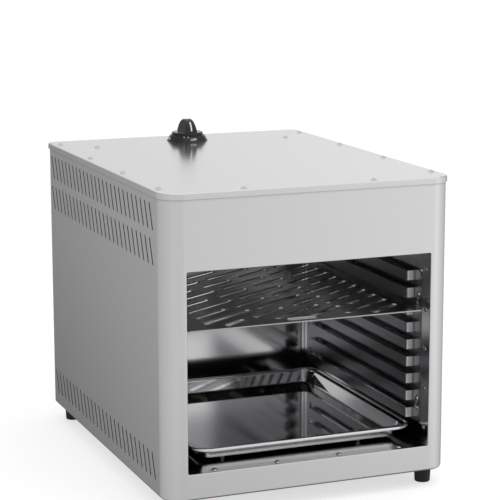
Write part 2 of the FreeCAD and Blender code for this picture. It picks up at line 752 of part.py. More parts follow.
def top_cover():
    """Shallow pan over the body, with a lip all round."""
    reach = HALF_W + LID_OVER
    y = (back(-LID_OVER), back(BODY_D + LID_OVER))
    radii = [FRONT_CORNER_R + LID_OVER] * 2 + [REAR_CORNER_R + LID_OVER] * 2
    pan = rounded_slab((-reach, reach), y, (up(LID_TOP - LID_LIP_H), up(LID_TOP)), radii)
    pan = pan.makeFillet(LID_EDGE_R, edges_at(pan, lambda p: abs(p.z - up(LID_TOP)) < TOLERANCE))
    inner = reach - LID_T
    inner_y = (y[0] + LID_T, y[1] - LID_T)
    inner_radii = [radius - LID_T for radius in radii]
    hollow = rounded_slab((-inner, inner), inner_y, (up(LID_TOP - LID_LIP_H) - PAST, up(BODY_H)), inner_radii)
    bend = LID_EDGE_R - LID_T
    hollow = hollow.makeFillet(bend, edges_at(hollow, lambda p: abs(p.z - up(BODY_H)) < TOLERANCE))
    cuts = holes_down(lid_screw_places() + lid_inner_places(), BODY_H, LID_TOP)
    cuts += holes_down([(KNOB_X, KNOB_Y)], BODY_H, LID_TOP, LID_KNOB_HOLE_R)
    cuts += holes_down(bezel_screw_places(), BODY_H, LID_TOP, M3_SHANK_R + HOLE_GAP)
    return pan.cut([hollow] + cuts)


def bezel_screw_places():
    ring_r = (BEZEL_BORE_R + BEZEL_R) / 2.0
    return [(KNOB_X + side * ring_r, KNOB_Y) for side in (-1, 1)]


def back_panel():
    """Flat rear sheet screwed to the rear flanges, with vents and the gas inlet hole."""
    reach = HALF_W - REAR_CORNER_R
    panel = box((-reach, reach), (back(WRAP_D), back(BODY_D)), (up(WRAP_BEND_R), up(BODY_H - BACK_TOP_GAP)))
    cuts = holes_back(back_screw_places(), WRAP_D, BODY_D)
    cuts += holes_back([(PIPE_X, PIPE_Z)], WRAP_D, BODY_D, INLET_R + HOLE_GAP)
    columns = int(2 * (reach - REAR_FLANGE_W) // VENT_PITCH)
    first = -(columns - 1) * VENT_PITCH / 2.0
    for height in BACK_VENT_ROWS:
        for i in range(columns):
            x = first + VENT_PITCH * i
            centre = V(WRAP_D - PAST, -x, up(height))
            upright = slot(centre, VENT_W, VENT_H, 0.0, BACK_T + 2 * PAST)
            upright.rotate(V(0, 0, 0), Z_AXIS, 90)
            upright.translate(V(0, FRONT_Y, 0))
            cuts.append(upright)
    return panel.cut(cuts)


def base_panel():
    """Bottom sheet lying on the wrap's lower flange."""
    inset = SHEET + BASE_GAP
    plate = wrap_block(inset, SHEET, BASE_TOP)
    cuts = holes_down(base_screw_places() + support_screw_places(), SHEET, BASE_TOP)
    cuts += holes_down(foot_places(), SHEET, BASE_TOP, M5_SHANK_R + HOLE_GAP)
    reach = HALF_W - BOTTOM_FLANGE_W - VENT_PITCH
    columns = int(2 * reach // VENT_PITCH)
    first = -(columns - 1) * VENT_PITCH / 2.0
    for depth in BASE_SCREW_Y[:2]:
        for i in range(columns):
            x = first + VENT_PITCH * i
            limits = (x - VENT_W / 2, x + VENT_W / 2)
            y = (back(depth - VENT_H), back(depth + VENT_H))
            cuts.append(rounded_slab(limits, y, (up(SHEET) - PAST, up(BASE_TOP) + PAST), [VENT_END_R] * 4))
    return plate.cut(cuts)


def foot(x, depth):
    """Tapered rubber foot with a recess for its screw."""
    cone = Part.makeCone(FOOT_BOTTOM_R, FOOT_TOP_R, FOOT_H, V(x, back(depth), 0), Z_AXIS)
    cone = cone.makeFillet(FOOT_EDGE_R, edges_at(cone, lambda p: abs(p.z) < TOLERANCE))
    recess = cylinder(FOOT_RECESS_R, V(x, back(depth), -PAST), Z_AXIS, FOOT_RECESS_H + PAST)
    hole = cylinder(M5_SHANK_R + HOLE_GAP, V(x, back(depth), 0), Z_AXIS, FOOT_H + PAST)
    return cone.cut([recess, hole])


def foot_screws():
    length = FOOT_H - FOOT_RECESS_H + BASE_TOP + M5_NUT_H + THREAD_PAST_NUT
    shapes = []
    for x, depth in foot_places():
        point = V(x, back(depth), FOOT_RECESS_H)
        shapes.append(screw(point, Z_AXIS * -1, M5_HEAD_R, M5_HEAD_H, M5_SHANK_R, length))
    return Part.makeCompound(shapes)


def foot_nuts():
    shapes = []
    for x, depth in foot_places():
        point = V(x, back(depth), up(BASE_TOP))
        shapes.append(hex_nut(point, Z_AXIS, M5_NUT_R, M5_NUT_H, M5_SHANK_R + RUN_GAP))
    return Part.makeCompound(shapes)


def base_screws():
    shapes = []
    for x, depth in base_screw_places():
        point = V(x, back(depth), up(0.0))
        shapes.append(screw(point, Z_AXIS * -1, M4_HEAD_R, M4_HEAD_H, M4_SHANK_R, BASE_TOP + THREAD_PAST))
    for x, depth in support_screw_places():
        point = V(x, back(depth), up(SHEET))
        length = BASE_T + SUPPORT_T + THREAD_PAST
        shapes.append(screw(point, Z_AXIS * -1, M4_HEAD_R, M4_HEAD_H, M4_SHANK_R, length))
    return Part.makeCompound(shapes)


def back_screws():
    shapes = []
    for x, height in back_screw_places():
        point = V(x, back(BODY_D), up(height))
        shapes.append(screw(point, Y_AXIS, M4_HEAD_R, M4_HEAD_H, M4_SHANK_R, BACK_T + SHEET + THREAD_PAST))
    return Part.makeCompound(shapes)


def rear_support():
    """Hat channel that carries the liner floor on the base."""
    low = up(BASE_TOP + SUPPORT_T)
    high = up(FLOOR_TOP - LINER_T)
    near = back(SUPPORT_Y)
    far = near + SUPPORT_TOP_W
    points = [
        (far + SUPPORT_FOOT_W, low), (far, low), (far, high),
        (near, high), (near, low), (near - SUPPORT_FOOT_W, low),
    ]
    width = V(2 * SUPPORT_HALF_X, 0, 0)
    hat = bent_sheet(points, SUPPORT_T, BEND_R, lambda u, v: V(-SUPPORT_HALF_X, u, v), width)
    cuts = holes_down(support_screw_places(), BASE_TOP, BASE_TOP + SUPPORT_T)
    cuts += holes_down(support_top_places(), FLOOR_TOP - LINER_T - SUPPORT_T, FLOOR_TOP - LINER_T)
    return hat.cut(cuts)


def liner_edge_places():
    return [(side * LINER_SCREW_X, depth) for depth in LINER_SCREW_Y for side in (-1, 1)]


def liner_rear_places():
    return [(side * LINER_SCREW_X, height) for height in LINER_BACK_SCREW_Z for side in (-1, 1)]


def liner_floor():
    """Cavity floor under the frame's lower fold, with two ribs that carry the tray."""
    y = (back(SHEET + LINER_GAP), back(CAVITY_D + LINER_FLANGE_W))
    sheet = box((-LINER_REACH, LINER_REACH), y, (up(FLOOR_TOP - LINER_T), up(FLOOR_TOP)))
    ribs = []
    for side in (-1, 1):
        x = (side * FLOOR_RIB_X - FLOOR_RIB_W / 2, side * FLOOR_RIB_X + FLOOR_RIB_W / 2)
        rib_y = (back(FLOOR_RIB_FRONT), back(CAVITY_D - FLOOR_RIB_REAR_GAP))
        rib = rounded_slab(x, rib_y, (up(FLOOR_TOP - FLOOR_RIB_ROOT), up(TRAY_BOTTOM)), [FLOOR_RIB_END_R] * 4)
        top_edges = edges_at(rib, lambda p: abs(p.z - up(TRAY_BOTTOM)) < TOLERANCE)
        ribs.append(rib.makeFillet(FLOOR_RIB_EDGE_R, top_edges))
    frame_rows = [(x, FRAME_SCREW_Y) for x in frame_screw_x()]
    places = frame_rows + liner_edge_places() + support_top_places()
    cuts = holes_down(places, FLOOR_TOP - LINER_T, FLOOR_TOP)
    return fused([inside_wrap(sheet)] + ribs).cut(cuts)


def liner_right():
    """Cavity side wall with outward flanges at its foot, head and rear."""
    low = up(FLOOR_TOP)
    high = up(CEILING_BOTTOM)
    y = (back(SHEET + LINER_GAP), back(CAVITY_D))
    points = [(LINER_REACH, high), (LINER_X, high), (LINER_X, low), (LINER_REACH, low)]
    wall = bent_sheet(points, LINER_T, BEND_R, lambda u, v: V(u, y[0], v), V(0, y[1] - y[0], 0))
    inset = LINER_T + BEND_R
    rear = box((LINER_X, LINER_REACH), (y[1] - LINER_T, y[1]), (low + inset, high - inset))
    cuts = holes_down(liner_edge_places(), FLOOR_TOP, FLOOR_TOP + LINER_T)
    cuts += holes_down(liner_edge_places(), CEILING_BOTTOM - LINER_T, CEILING_BOTTOM)
    cuts += holes_back(liner_rear_places(), CAVITY_D - LINER_T, CAVITY_D)
    side_places = [(RIVET_Y, height) for height in rivet_heights()] + rack_screw_places()
    cuts += holes_side(side_places, LINER_X, LINER_X + LINER_T)
    return inside_wrap(fused([wall, rear])).cut(cuts)


def liner_back():
    """Rear wall of the cavity, folded back along its foot and head."""
    low = up(FLOOR_TOP)
    high = up(CEILING_BOTTOM)
    near = back(CAVITY_D)
    far = near + LINER_FLANGE_W
    points = [(far, high), (near, high), (near, low), (far, low)]
    wall = bent_sheet(points, LINER_T, BEND_R, lambda u, v: V(-LINER_REACH, u, v), V(2 * LINER_REACH, 0, 0))
    return wall.cut(holes_back(liner_rear_places(), CAVITY_D, CAVITY_D + LINER_T))


def burner_windows(low, high):
    """The two long openings under the plaques."""
    windows = []
    y = (back(PLAQUE_FRONT + PLAQUE_LEDGE), back(PLAQUE_FRONT + PLAQUE_FIELD_L - PLAQUE_LEDGE))
    for side in (-1, 1):
        x = sorted((side * PLAQUE_LEDGE, side * (PLAQUE_FIELD_X - PLAQUE_LEDGE)))
        windows.append(box(x, y, (up(low) - PAST, up(high) + PAST)))
    return windows


def burner_edge_places():
    reach = BURNER_HALF_X + BURNER_FLANGE_W / 2.0
    return [(side * reach, depth) for depth in BURNER_SCREW_Y for side in (-1, 1)]


def shield_foot_places():
    reach = SHIELD_HALF_X + SHIELD_FOOT_W / 2.0
    return [(side * reach, depth) for depth in SHIELD_SCREW_Y for side in (-1, 1)]


def liner_top():
    """Cavity ceiling that carries the burner."""
    y = (back(SHEET + LINER_GAP), back(CAVITY_D + LINER_FLANGE_W))
    sheet = box((-LINER_REACH, LINER_REACH), y, (up(CEILING_BOTTOM), up(CEILING_TOP)))
    frame_rows = [(x, FRAME_SCREW_Y) for x in frame_screw_x()]
    places = frame_rows + liner_edge_places() + burner_edge_places() + shield_foot_places()
    cuts = holes_down(places, CEILING_BOTTOM, CEILING_TOP)
    cuts += burner_windows(CEILING_BOTTOM, CEILING_TOP)
    cuts += holes_down([(ELECTRODE_X, SENSOR_Y)], CEILING_BOTTOM, CEILING_TOP, ELECTRODE_R + HOLE_GAP)
    cuts += holes_down([(PROBE_X, SENSOR_Y)], CEILING_BOTTOM, CEILING_TOP, PROBE_R + HOLE_GAP)
    return inside_wrap(sheet).cut(cuts)


def liner_screws():
    """Screws that join the five liner sheets and the rear support."""
    shapes = []
    for x, depth in liner_edge_places():
        foot_point = V(x, back(depth), up(FLOOR_TOP + LINER_T))
        head_point = V(x, back(depth), up(CEILING_TOP))
        for point in (foot_point, head_point):
            shapes.append(screw(point, Z_AXIS, M4_HEAD_R, M4_HEAD_H, M4_SHANK_R, 2 * LINER_T + THREAD_PAST))
    for x, height in liner_rear_places():
        point = V(x, back(CAVITY_D + LINER_T), up(height))
        shapes.append(screw(point, Y_AXIS, M4_HEAD_R, M4_HEAD_H, M4_SHANK_R, 2 * LINER_T + THREAD_PAST))
    for x, depth in support_top_places():
        point = V(x, back(depth), up(FLOOR_TOP))
        length = LINER_T + SUPPORT_T + THREAD_PAST
        shapes.append(screw(point, Z_AXIS, M4_HEAD_R, M4_HEAD_H, M4_SHANK_R, length))
    return Part.makeCompound(shapes)


def runner_heights():
    """Upper edge of each runner, from the top one down."""
    return [RUNNER_TOP - RUNNER_PITCH * i for i in range(RUNNER_COUNT)]


def rack_screw_places():
    return [(depth, height) for depth in RACK_SCREW_Y for height in RACK_SCREW_Z]


def runner(top):
    """Strip pushed out of the rack plate, closed at both ends by its own folds."""
    face = OPEN_HALF - RUNNER_DEPTH
    front = back(RUNNER_FRONT)
    rear = back(RUNNER_REAR)
    points = [(OPEN_HALF + RACK_T, rear), (face, rear), (face, front), (OPEN_HALF + RACK_T, front)]
    low = up(top - RUNNER_H)
    return bent_sheet(points, RACK_T, RUNNER_BEND_R, lambda u, v: V(u, v, low), V(0, 0, RUNNER_H))


def rack_right():
    """Side rack: a hung plate with its row of runners."""
    x = OPEN_HALF
    y = (back(RACK_FRONT), back(RACK_REAR))
    z = (up(RACK_BOTTOM), up(RACK_TOP))
    points = [V(x, y[0], z[0]), V(x, y[1], z[0]), V(x, y[1], z[1]), V(x, y[0], z[1])]
    plate = rounded_face(points, [RACK_CORNER_R] * 4).extrude(V(RACK_T, 0, 0))
    cuts = []
    through = (x - PAST, x + RACK_T + PAST)
    for top in runner_heights():
        z_window = (up(top - RUNNER_H), up(top))
        cuts.append(box(through, (back(RUNNER_FRONT + RACK_T), back(RUNNER_REAR - RACK_T)), z_window))
        middle = up(top - RUNNER_H / 2.0)
        z_small = (middle - REAR_WINDOW_H / 2.0, middle + REAR_WINDOW_H / 2.0)
        if all(abs(middle - up(height)) > RUNNER_PITCH / 2.0 + KEYHOLE_DROP / 2.0 for height in RACK_SCREW_Z):
            cuts.append(box(through, (back(REAR_WINDOW_Y[0]), back(REAR_WINDOW_Y[1])), z_small))
    for depth, height in rack_screw_places():
        start = V(through[0], back(depth), up(height))
        drop = V(0, 0, -KEYHOLE_DROP)
        cuts.append(cylinder(KEYHOLE_W / 2.0, start, X_AXIS, RACK_T + 2 * PAST))
        cuts.append(cylinder(KEYHOLE_R, start + drop, X_AXIS, RACK_T + 2 * PAST))
        half = KEYHOLE_W / 2.0
        neck = (back(depth - half), back(depth + half))
        cuts.append(box(through, neck, (up(height - KEYHOLE_DROP), up(height))))
    return fused([plate.cut(cuts)] + [runner(top) for top in runner_heights()])


def rack_screws():
    """Shoulder screws that the racks hang on, four a side."""
    shapes = []
    for depth, height in rack_screw_places():
        point = V(OPEN_HALF, back(depth), up(height))
        piece = screw(point, X_AXIS * -1, M4_HEAD_R, M4_HEAD_H, M4_SHANK_R, RACK_T + LINER_T + THREAD_PAST)
        shapes.append(piece)
        shapes.append(mirrored(piece))
    return Part.makeCompound(shapes)


def flange_rivets():
    """Rivets through the folded frame and the liner walls."""
    shapes = []
    for height in rivet_heights():
        point = V(OPEN_HALF, back(RIVET_Y), up(height))
        piece = rivet(point, X_AXIS * -1, SHEET + LINER_T)
        shapes.append(piece)
        shapes.append(mirrored(piece))
    return Part.makeCompound(shapes)


def frame_screws(height, axis):
    """Row of screws through one level fold of the frame."""
    shapes = []
    for x in frame_screw_x():
        point = V(x, back(FRAME_SCREW_Y), up(height))
        shapes.append(screw(point, axis, M4_HEAD_R, M4_HEAD_H, M4_SHANK_R, SHEET + LINER_T + THREAD_PAST))
    return Part.makeCompound(shapes)


def lid_screws():
    shapes = []
    for x, depth in lid_screw_places() + lid_inner_places():
        point = V(x, back(depth), up(LID_TOP))
        shapes.append(screw(point, Z_AXIS, M4_HEAD_R, M4_HEAD_H, M4_SHANK_R, LID_T + SHEET + THREAD_PAST))
    return Part.makeCompound(shapes)


def grate_slot(start_x, end_x, line):
    """One slanted slot of the grate on a line, shortened to stay inside the end margins."""
    slope = math.tan(math.radians(GRATE_SLOT_ANGLE))
    half = GRATE_SLOT_W / 2.0
    left = GRATE_LEFT + GRATE_MARGIN_LEFT
    low = GRATE_FRONT + GRATE_MARGIN_ENDS + half
    high = GRATE_REAR - GRATE_MARGIN_ENDS - half
    run = math.cos(math.radians(GRATE_SLOT_ANGLE))
    x0 = max(start_x + half, left + (low - line) / slope)
    x1 = min(end_x - half, left + (high - line) / slope)
    if (x1 - x0) / run + GRATE_SLOT_W < GRATE_SLOT_MIN:
        return None
    return grate_hole(V(x0, line + (x0 - left) * slope, 0), V(x1, line + (x1 - left) * slope, 0))


def grate_hole(start, end):
    """Round-ended hole through the grate between two centres given by X and depth."""
    half = GRATE_SLOT_W / 2.0
    shift = V(0, FRONT_Y, up(GRATE_BOTTOM) - PAST)
    run = (end - start).normalize()
    side = V(-run.y, run.x, 0) * half
    a = start + shift
    b = end + shift
    edges = [
        Part.LineSegment(a + side, b + side).toShape(),
        Part.Arc(b + side, b + run * half, b - side).toShape(),
        Part.LineSegment(b - side, a - side).toShape(),
        Part.Arc(a - side, a - run * half, a + side).toShape(),
    ]
    return Part.Face(Part.Wire(edges)).extrude(V(0, 0, GRATE_T + 2 * PAST))


def grate_holes():
    """Lines of long slots and lines of short slots by turns, from the front to the rear."""
    left = GRATE_LEFT + GRATE_MARGIN_LEFT
    right = GRATE_RIGHT - GRATE_MARGIN_RIGHT
    slope = math.tan(math.radians(GRATE_SLOT_ANGLE))
    first = -int(math.ceil((right - left) * slope / GRATE_LINE_PITCH)) - 1
    last = int((GRATE_REAR - GRATE_FIRST_LINE) // GRATE_LINE_PITCH)
    holes = []
    for number in range(first, last + 1):
        long_line = number % 2 == 0
        count = GRATE_LONG_COUNT if long_line else GRATE_SHORT_COUNT
        gap = GRATE_LONG_GAP if long_line else GRATE_SHORT_GAP
        length = (right - left - gap * (count - 1)) / count
        for i in range(count):
            start = left + (length + gap) * i
            hole = grate_slot(start, start + length, GRATE_FIRST_LINE + GRATE_LINE_PITCH * number)
            if hole is not None:
                holes.append(hole)
    depth = GRATE_FRONT + GRATE_MARGIN_ENDS + GRATE_SLOT_W / 2.0
    half = GRATE_FILLER_L / 2.0
    holes.append(grate_hole(V(GRATE_FILLER_X - half, depth, 0), V(GRATE_FILLER_X + half, depth, 0)))
    return holes


def grate():
    """Perforated steel plate that slides on a pair of runners."""
    x = (GRATE_LEFT, GRATE_RIGHT)
    y = (back(GRATE_FRONT), back(GRATE_REAR))
    z = (up(GRATE_BOTTOM), up(GRATE_BOTTOM + GRATE_T))
    return rounded_slab(x, y, z, [GRATE_CORNER_R] * 4).cut(grate_holes())


def tray_outline(inset, height):
    """Closed rounded outline of the tray at a height, drawn in from the rim."""
    x0 = TRAY_LEFT + inset
    x1 = TRAY_RIGHT - inset
    y0 = back(TRAY_FRONT + inset)
    y1 = back(TRAY_REAR - inset)
    z = up(TRAY_BOTTOM + height)
    radius = TRAY_RIM_R - inset * TRAY_CORNER_SHRINK
    return rounded_face([V(x0, y0, z), V(x1, y0, z), V(x1, y1, z), V(x0, y1, z)], [radius] * 4)


def tray_body(inset, low, high, bend):
    """Drafted block with a rounded foot."""
    slope = TRAY_DRAFT / (TRAY_H - TRAY_T)
    top = tray_outline(TRAY_RIM_W + inset, high).OuterWire
    bottom = tray_outline(TRAY_RIM_W + inset + slope * (high - low), low).OuterWire
    block = Part.makeLoft([bottom, top], True, True)
    return block.makeFillet(bend, edges_at(block, lambda p: abs(p.z - up(TRAY_BOTTOM + low)) < TOLERANCE))


def drip_tray():
    """Pressed tray with sloped walls and a flat rim that ends in a rolled bead."""
    rim_low = TRAY_H - (TRAY_BEAD + TRAY_T) / 2.0
    pan = tray_body(0.0, 0.0, rim_low + TRAY_T, TRAY_BASE_R)
    rim = tray_outline(TRAY_BEAD / 2.0, rim_low).extrude(V(0, 0, TRAY_T))
    bead = tray_outline(0.0, TRAY_H - TRAY_BEAD).extrude(V(0, 0, TRAY_BEAD))
    bead = bead.cut(tray_outline(TRAY_BEAD, TRAY_H - TRAY_BEAD).extrude(V(0, 0, TRAY_BEAD)))
    bead = bead.makeFillet(TRAY_BEAD_EDGE_R, bead.Edges)
    hollow = tray_body(TRAY_T, TRAY_T, TRAY_H, TRAY_BASE_R - TRAY_T)
    return fused([pan, rim, bead]).cut(hollow)


def burner_housing():
    """Gas box over the plaques, open below, with an outward foot flange."""
    low = up(CEILING_TOP)
    high = low + BURNER_H
    y = (back(BURNER_FRONT), back(BURNER_REAR))
    reach = BURNER_HALF_X
    block = rounded_slab((-reach, reach), y, (low, high), [BURNER_CORNER_R] * 4)
    inner = reach - BURNER_T
    inner_y = (y[0] + BURNER_T, y[1] - BURNER_T)
    inner_radii = [BURNER_CORNER_R - BURNER_T] * 4
    hollow = rounded_slab((-inner, inner), inner_y, (low - PAST, high - BURNER_T), inner_radii)
    wide = reach + BURNER_FLANGE_W
    flange = box((-wide, wide), y, (low, low + BURNER_T))
    cuts = holes_down(burner_edge_places(), CEILING_TOP, CEILING_TOP + BURNER_T)
    cuts += holes_back([(KNOB_X, MIXER_Z)], BURNER_REAR - BURNER_T, BURNER_REAR, MIXER_R)
    return block.fuse(flange).removeSplitter().cut([hollow] + cuts)


def burner_screws():
    shapes = []
    for x, depth in burner_edge_places():
        point = V(x, back(depth), up(CEILING_TOP + BURNER_T))
        length = BURNER_T + LINER_T + THREAD_PAST_SHORT
        shapes.append(screw(point, Z_AXIS, M4_HEAD_R, M4_HEAD_H, M4_SHANK_R, length))
    return Part.makeCompound(shapes)


def plaque_limits(column, row):
    """Limits of one plaque in X and depth."""
    side = -1 if column == 0 else 1
    x = sorted((side * PLAQUE_GAP / 2.0, side * (PLAQUE_GAP / 2.0 + PLAQUE_X)))
    start = PLAQUE_FRONT + (PLAQUE_Y + PLAQUE_GAP) * row + PLAQUE_GAP / 2.0
    return x, (start, start + PLAQUE_Y)


def ceramic_plaque(column, row):
    """Infrared tile, its glowing face stepped by a grid of shallow grooves."""
    x, depth = plaque_limits(column, row)
    y = (back(depth[0]), back(depth[1]))
    low = up(PLAQUE_BOTTOM)
    tile = box(x, y, (low, low + PLAQUE_H))
    grooves = []
    half = PLAQUE_GROOVE / 2.0
    z = (low - PAST, low + PLAQUE_GROOVE)
    for i in range(1, PLAQUE_CELL_COUNT_X):
        middle = x[0] + PLAQUE_X * i / PLAQUE_CELL_COUNT_X
        grooves.append(box((middle - half, middle + half), y, z))
    for i in range(1, PLAQUE_CELL_COUNT_Y):
        middle = y[0] + PLAQUE_Y * i / PLAQUE_CELL_COUNT_Y
        grooves.append(box(x, (middle - half, middle + half), z))
    return tile.cut(grooves)


def plaque_field(low, high):
    """Block over all plaques."""
    y = (back(PLAQUE_FRONT), back(PLAQUE_FRONT + PLAQUE_FIELD_L))
    return box((-PLAQUE_FIELD_X, PLAQUE_FIELD_X), y, (up(low), up(high)))


def burner_gasket():
    """Soft seal between the ceiling and the plaques."""
    sheet = plaque_field(CEILING_TOP, PLAQUE_BOTTOM)
    return sheet.cut(burner_windows(CEILING_TOP, PLAQUE_BOTTOM))


def plaque_retainer():
    """Frame that holds the plaques down from above."""
    low = PLAQUE_BOTTOM + PLAQUE_H
    frame = plaque_field(low, low + RETAINER_T)
    cuts = []
    half = RETAINER_W / 2.0
    z_cut = (up(low) - PAST, up(low + RETAINER_T) + PAST)
    for column in range(PLAQUE_COLUMN_COUNT):
        for row in range(PLAQUE_ROW_COUNT):
            x, depth = plaque_limits(column, row)
            cuts.append(box((x[0] + half, x[1] - half), (back(depth[0] + half), back(depth[1] - half)), z_cut))
    frame = frame.cut(cuts)
    tabs = []
    for side in (-1, 1):
        x = sorted((side * PLAQUE_FIELD_X, side * (BURNER_HALF_X - BURNER_T)))
        for row in (0, PLAQUE_ROW_COUNT - 1):
            middle = sum(plaque_limits(0, row)[1]) / 2.0
            tabs.append(box(x, (back(middle - half), back(middle + half)), (up(low), up(low + RETAINER_T))))
    return fused([frame] + tabs)


def mixer_tube():
    """Mixing tube from the injector into the gas box, with a bell mouth."""
    start = V(KNOB_X, back(MIXER_FRONT), up(MIXER_Z))
    length = MIXER_MOUTH - BELL_L - MIXER_FRONT
    mouth = start + V(0, length, 0)
    outer = [cylinder(MIXER_R, start, Y_AXIS, length), Part.makeCone(MIXER_R, BELL_R, BELL_L, mouth, Y_AXIS)]
    inner_r = MIXER_R - MIXER_WALL
    inner = [
        cylinder(inner_r, start - Y_AXIS * PAST, Y_AXIS, length + PAST),
        Part.makeCone(inner_r, BELL_R - MIXER_WALL, BELL_L, mouth, Y_AXIS),
    ]
    return fused(outer).cut(inner)


def heat_shield():
    """Arched sheet between the burner and the top cover."""
    low = up(CEILING_TOP + LINER_T)
    high = up(CEILING_TOP + SHIELD_UP)
    reach = SHIELD_HALF_X
    foot_reach = reach + SHIELD_FOOT_W
    right = [(foot_reach, low), (reach, low), (reach, high)]
    points = right + [(-u, v) for u, v in reversed(right)]
    y = (back(SHIELD_FRONT), back(SHIELD_REAR))
    arch = bent_sheet(points, LINER_T, BEND_R, lambda u, v: V(u, y[0], v), V(0, y[1] - y[0], 0))
    return arch.cut(holes_down(shield_foot_places(), CEILING_TOP, CEILING_TOP + LINER_T))


def shield_screws():
    shapes = []
    for x, depth in shield_foot_places():
        point = V(x, back(depth), up(CEILING_TOP + LINER_T))
        length = 2 * LINER_T + THREAD_PAST_SHORT
        shapes.append(screw(point, Z_AXIS, M4_HEAD_R, M4_HEAD_H, M4_SHANK_R, length))
    return Part.makeCompound(shapes)


def control_bracket():
    """Channel under the top cover that holds the valve."""
    high = up(BODY_H)
    low = high - BRACKET_LEG
    y = (back(BRACKET_FRONT), back(BRACKET_REAR))
    points = [(y[1], low), (y[1], high), (y[0], high), (y[0], low)]
    width = V(2 * BRACKET_HALF_X, 0, 0)
    channel = bent_sheet(points, BRACKET_T, BEND_R, lambda u, v: V(-BRACKET_HALF_X, u, v), width)
    web = (BODY_H - BRACKET_T, BODY_H)
    cuts = holes_down(lid_inner_places(), web[0], web[1])
    cuts += holes_down([(KNOB_X, KNOB_Y)], web[0], web[1], LID_KNOB_HOLE_R)
    cuts += holes_down(bezel_screw_places(), web[0], web[1], M3_HEAD_R + BEZEL_HEAD_GAP)
    cuts += holes_down(valve_screw_places(), web[0], web[1], M3_SHANK_R + HOLE_GAP)
    return channel.cut(cuts)


def valve_screw_places():
    reach = BONNET_W / 2.0 - BONNET_SCREW_INSET
    return [(KNOB_X + side * reach, KNOB_Y) for side in (-1, 1)]


def valve_screws():
    shapes = []
    for x, depth in valve_screw_places():
        point = V(x, back(depth), up(VALVE_TOP - BONNET_T))
        length = BONNET_T + BRACKET_T - THREAD_END_GAP
        shapes.append(screw(point, Z_AXIS * -1, M3_HEAD_R, M3_HEAD_H, M3_SHANK_R, length))
    return Part.makeCompound(shapes)


def valve_body():
    """Gas valve block with its bonnet, spring pocket and stem bore."""
    block = box(VALVE_X, (back(VALVE_Y[0]), back(VALVE_Y[1])), (up(VALVE_BOTTOM), up(VALVE_TOP)))
    bonnet_x = (KNOB_X - BONNET_W / 2.0, KNOB_X + BONNET_W / 2.0)
    bonnet_y = (back(VALVE_Y[0]), back(VALVE_Y[1]))
    bonnet_z = (up(VALVE_TOP - BONNET_T), up(VALVE_TOP))
    bonnet = rounded_slab(bonnet_x, bonnet_y, bonnet_z, [BONNET_CORNER_R] * 4)
    cuts = holes_down(valve_screw_places(), VALVE_TOP - BONNET_T, VALVE_TOP, M3_SHANK_R + HOLE_GAP)
    axis = V(KNOB_X, back(KNOB_Y), up(VALVE_TOP) + PAST)
    cuts.append(cylinder(POCKET_R, axis, Z_AXIS * -1, POCKET_D + PAST))
    stem_bottom = LID_TOP + STEM_TOP - STEM_L
    bore_bottom = stem_bottom - KNOB_TRAVEL - STEM_END_GAP
    cuts.append(cylinder(STEM_R + RUN_GAP, axis, Z_AXIS * -1, VALVE_TOP - bore_bottom + PAST))
    port = V(VALVE_X[1] - PORT_D, back(PIPE_Y), up(PIPE_Z))
    cuts.append(cylinder(PIPE_R - PIPE_WALL, port, X_AXIS, PORT_D + PAST))
    return fused([block, bonnet]).cut(cuts)


def injector_holder():
    """Elbow from the valve's outlet to the injector."""
    elbow = V(KNOB_X, back(KNOB_Y), up(MIXER_Z))
    down = cylinder(HOLDER_R, elbow - Z_AXIS * HOLDER_R, Z_AXIS, VALVE_BOTTOM - MIXER_Z + HOLDER_R)
    forward = cylinder(HOLDER_ARM_R, elbow, Y_AXIS * -1, KNOB_Y - INJECTOR_REAR)
    return fused([down, forward])


def injector():
    """Hexagonal nozzle that looks into the bell mouth."""
    rear = V(KNOB_X, back(INJECTOR_REAR), up(MIXER_Z))
    forward = Y_AXIS * -1
    head = hex_nut(rear, forward, INJECTOR_HEX_R, INJECTOR_HEX_T, INJECTOR_BORE_R)
    tip = Part.makeCone(INJECTOR_CONE_R, INJECTOR_R, INJECTOR_CONE_L, rear + forward * INJECTOR_HEX_T, forward)
    bore = cylinder(INJECTOR_BORE_R, rear, forward, INJECTOR_HEX_T + INJECTOR_CONE_L + PAST)
    return fused([head, tip.cut(bore)])


def piezo_igniter():
    """Spark unit on the valve's side."""
    x = (VALVE_X[0] - IGNITER_W, VALVE_X[0])
    y = (back(KNOB_Y - IGNITER_D / 2.0), back(KNOB_Y + IGNITER_D / 2.0))
    block = box(x, y, (up(IGNITER_TOP - IGNITER_H), up(IGNITER_TOP)))
    return block.makeFillet(IGNITER_EDGE_R, edges_at(block, lambda p: abs(p.x - x[0]) < TOLERANCE))


def ignition_electrode():
    """Ceramic rod through the ceiling with a bent wire that reaches under the plaques."""
    top = V(ELECTRODE_X, back(SENSOR_Y), up(CEILING_TOP + ELECTRODE_UP))
    rod = cylinder(ELECTRODE_R, top, Z_AXIS * -1, SENSOR_L)
    collar_foot = V(top.x, top.y, up(CEILING_TOP))
    collar = cylinder(ELECTRODE_R + SENSOR_COLLAR_W, collar_foot, Z_AXIS, SENSOR_COLLAR_H)
    wire_top = top - Z_AXIS * SENSOR_L
    elbow = wire_top - Z_AXIS * ELECTRODE_WIRE_DROP
    tip = elbow - Y_AXIS * ELECTRODE_WIRE_REACH
    wire = bent_tube([wire_top, elbow, tip], ELECTRODE_WIRE_R, ELECTRODE_WIRE_BEND_R)
    return fused([rod, collar, wire])


def ignition_lead():
    """Lead from the spark unit down to the electrode."""
    start = V(ELECTRODE_X, back(KNOB_Y), up(IGNITER_TOP - IGNITER_H))
    end = V(ELECTRODE_X, back(SENSOR_Y), up(CEILING_TOP + ELECTRODE_UP))
    level = (start.z + end.z) / 2.0
    points = [start, V(start.x, start.y, level), V(end.x, end.y, level), end]
    return bent_tube(points, LEAD_R, SENSOR_BEND_R)


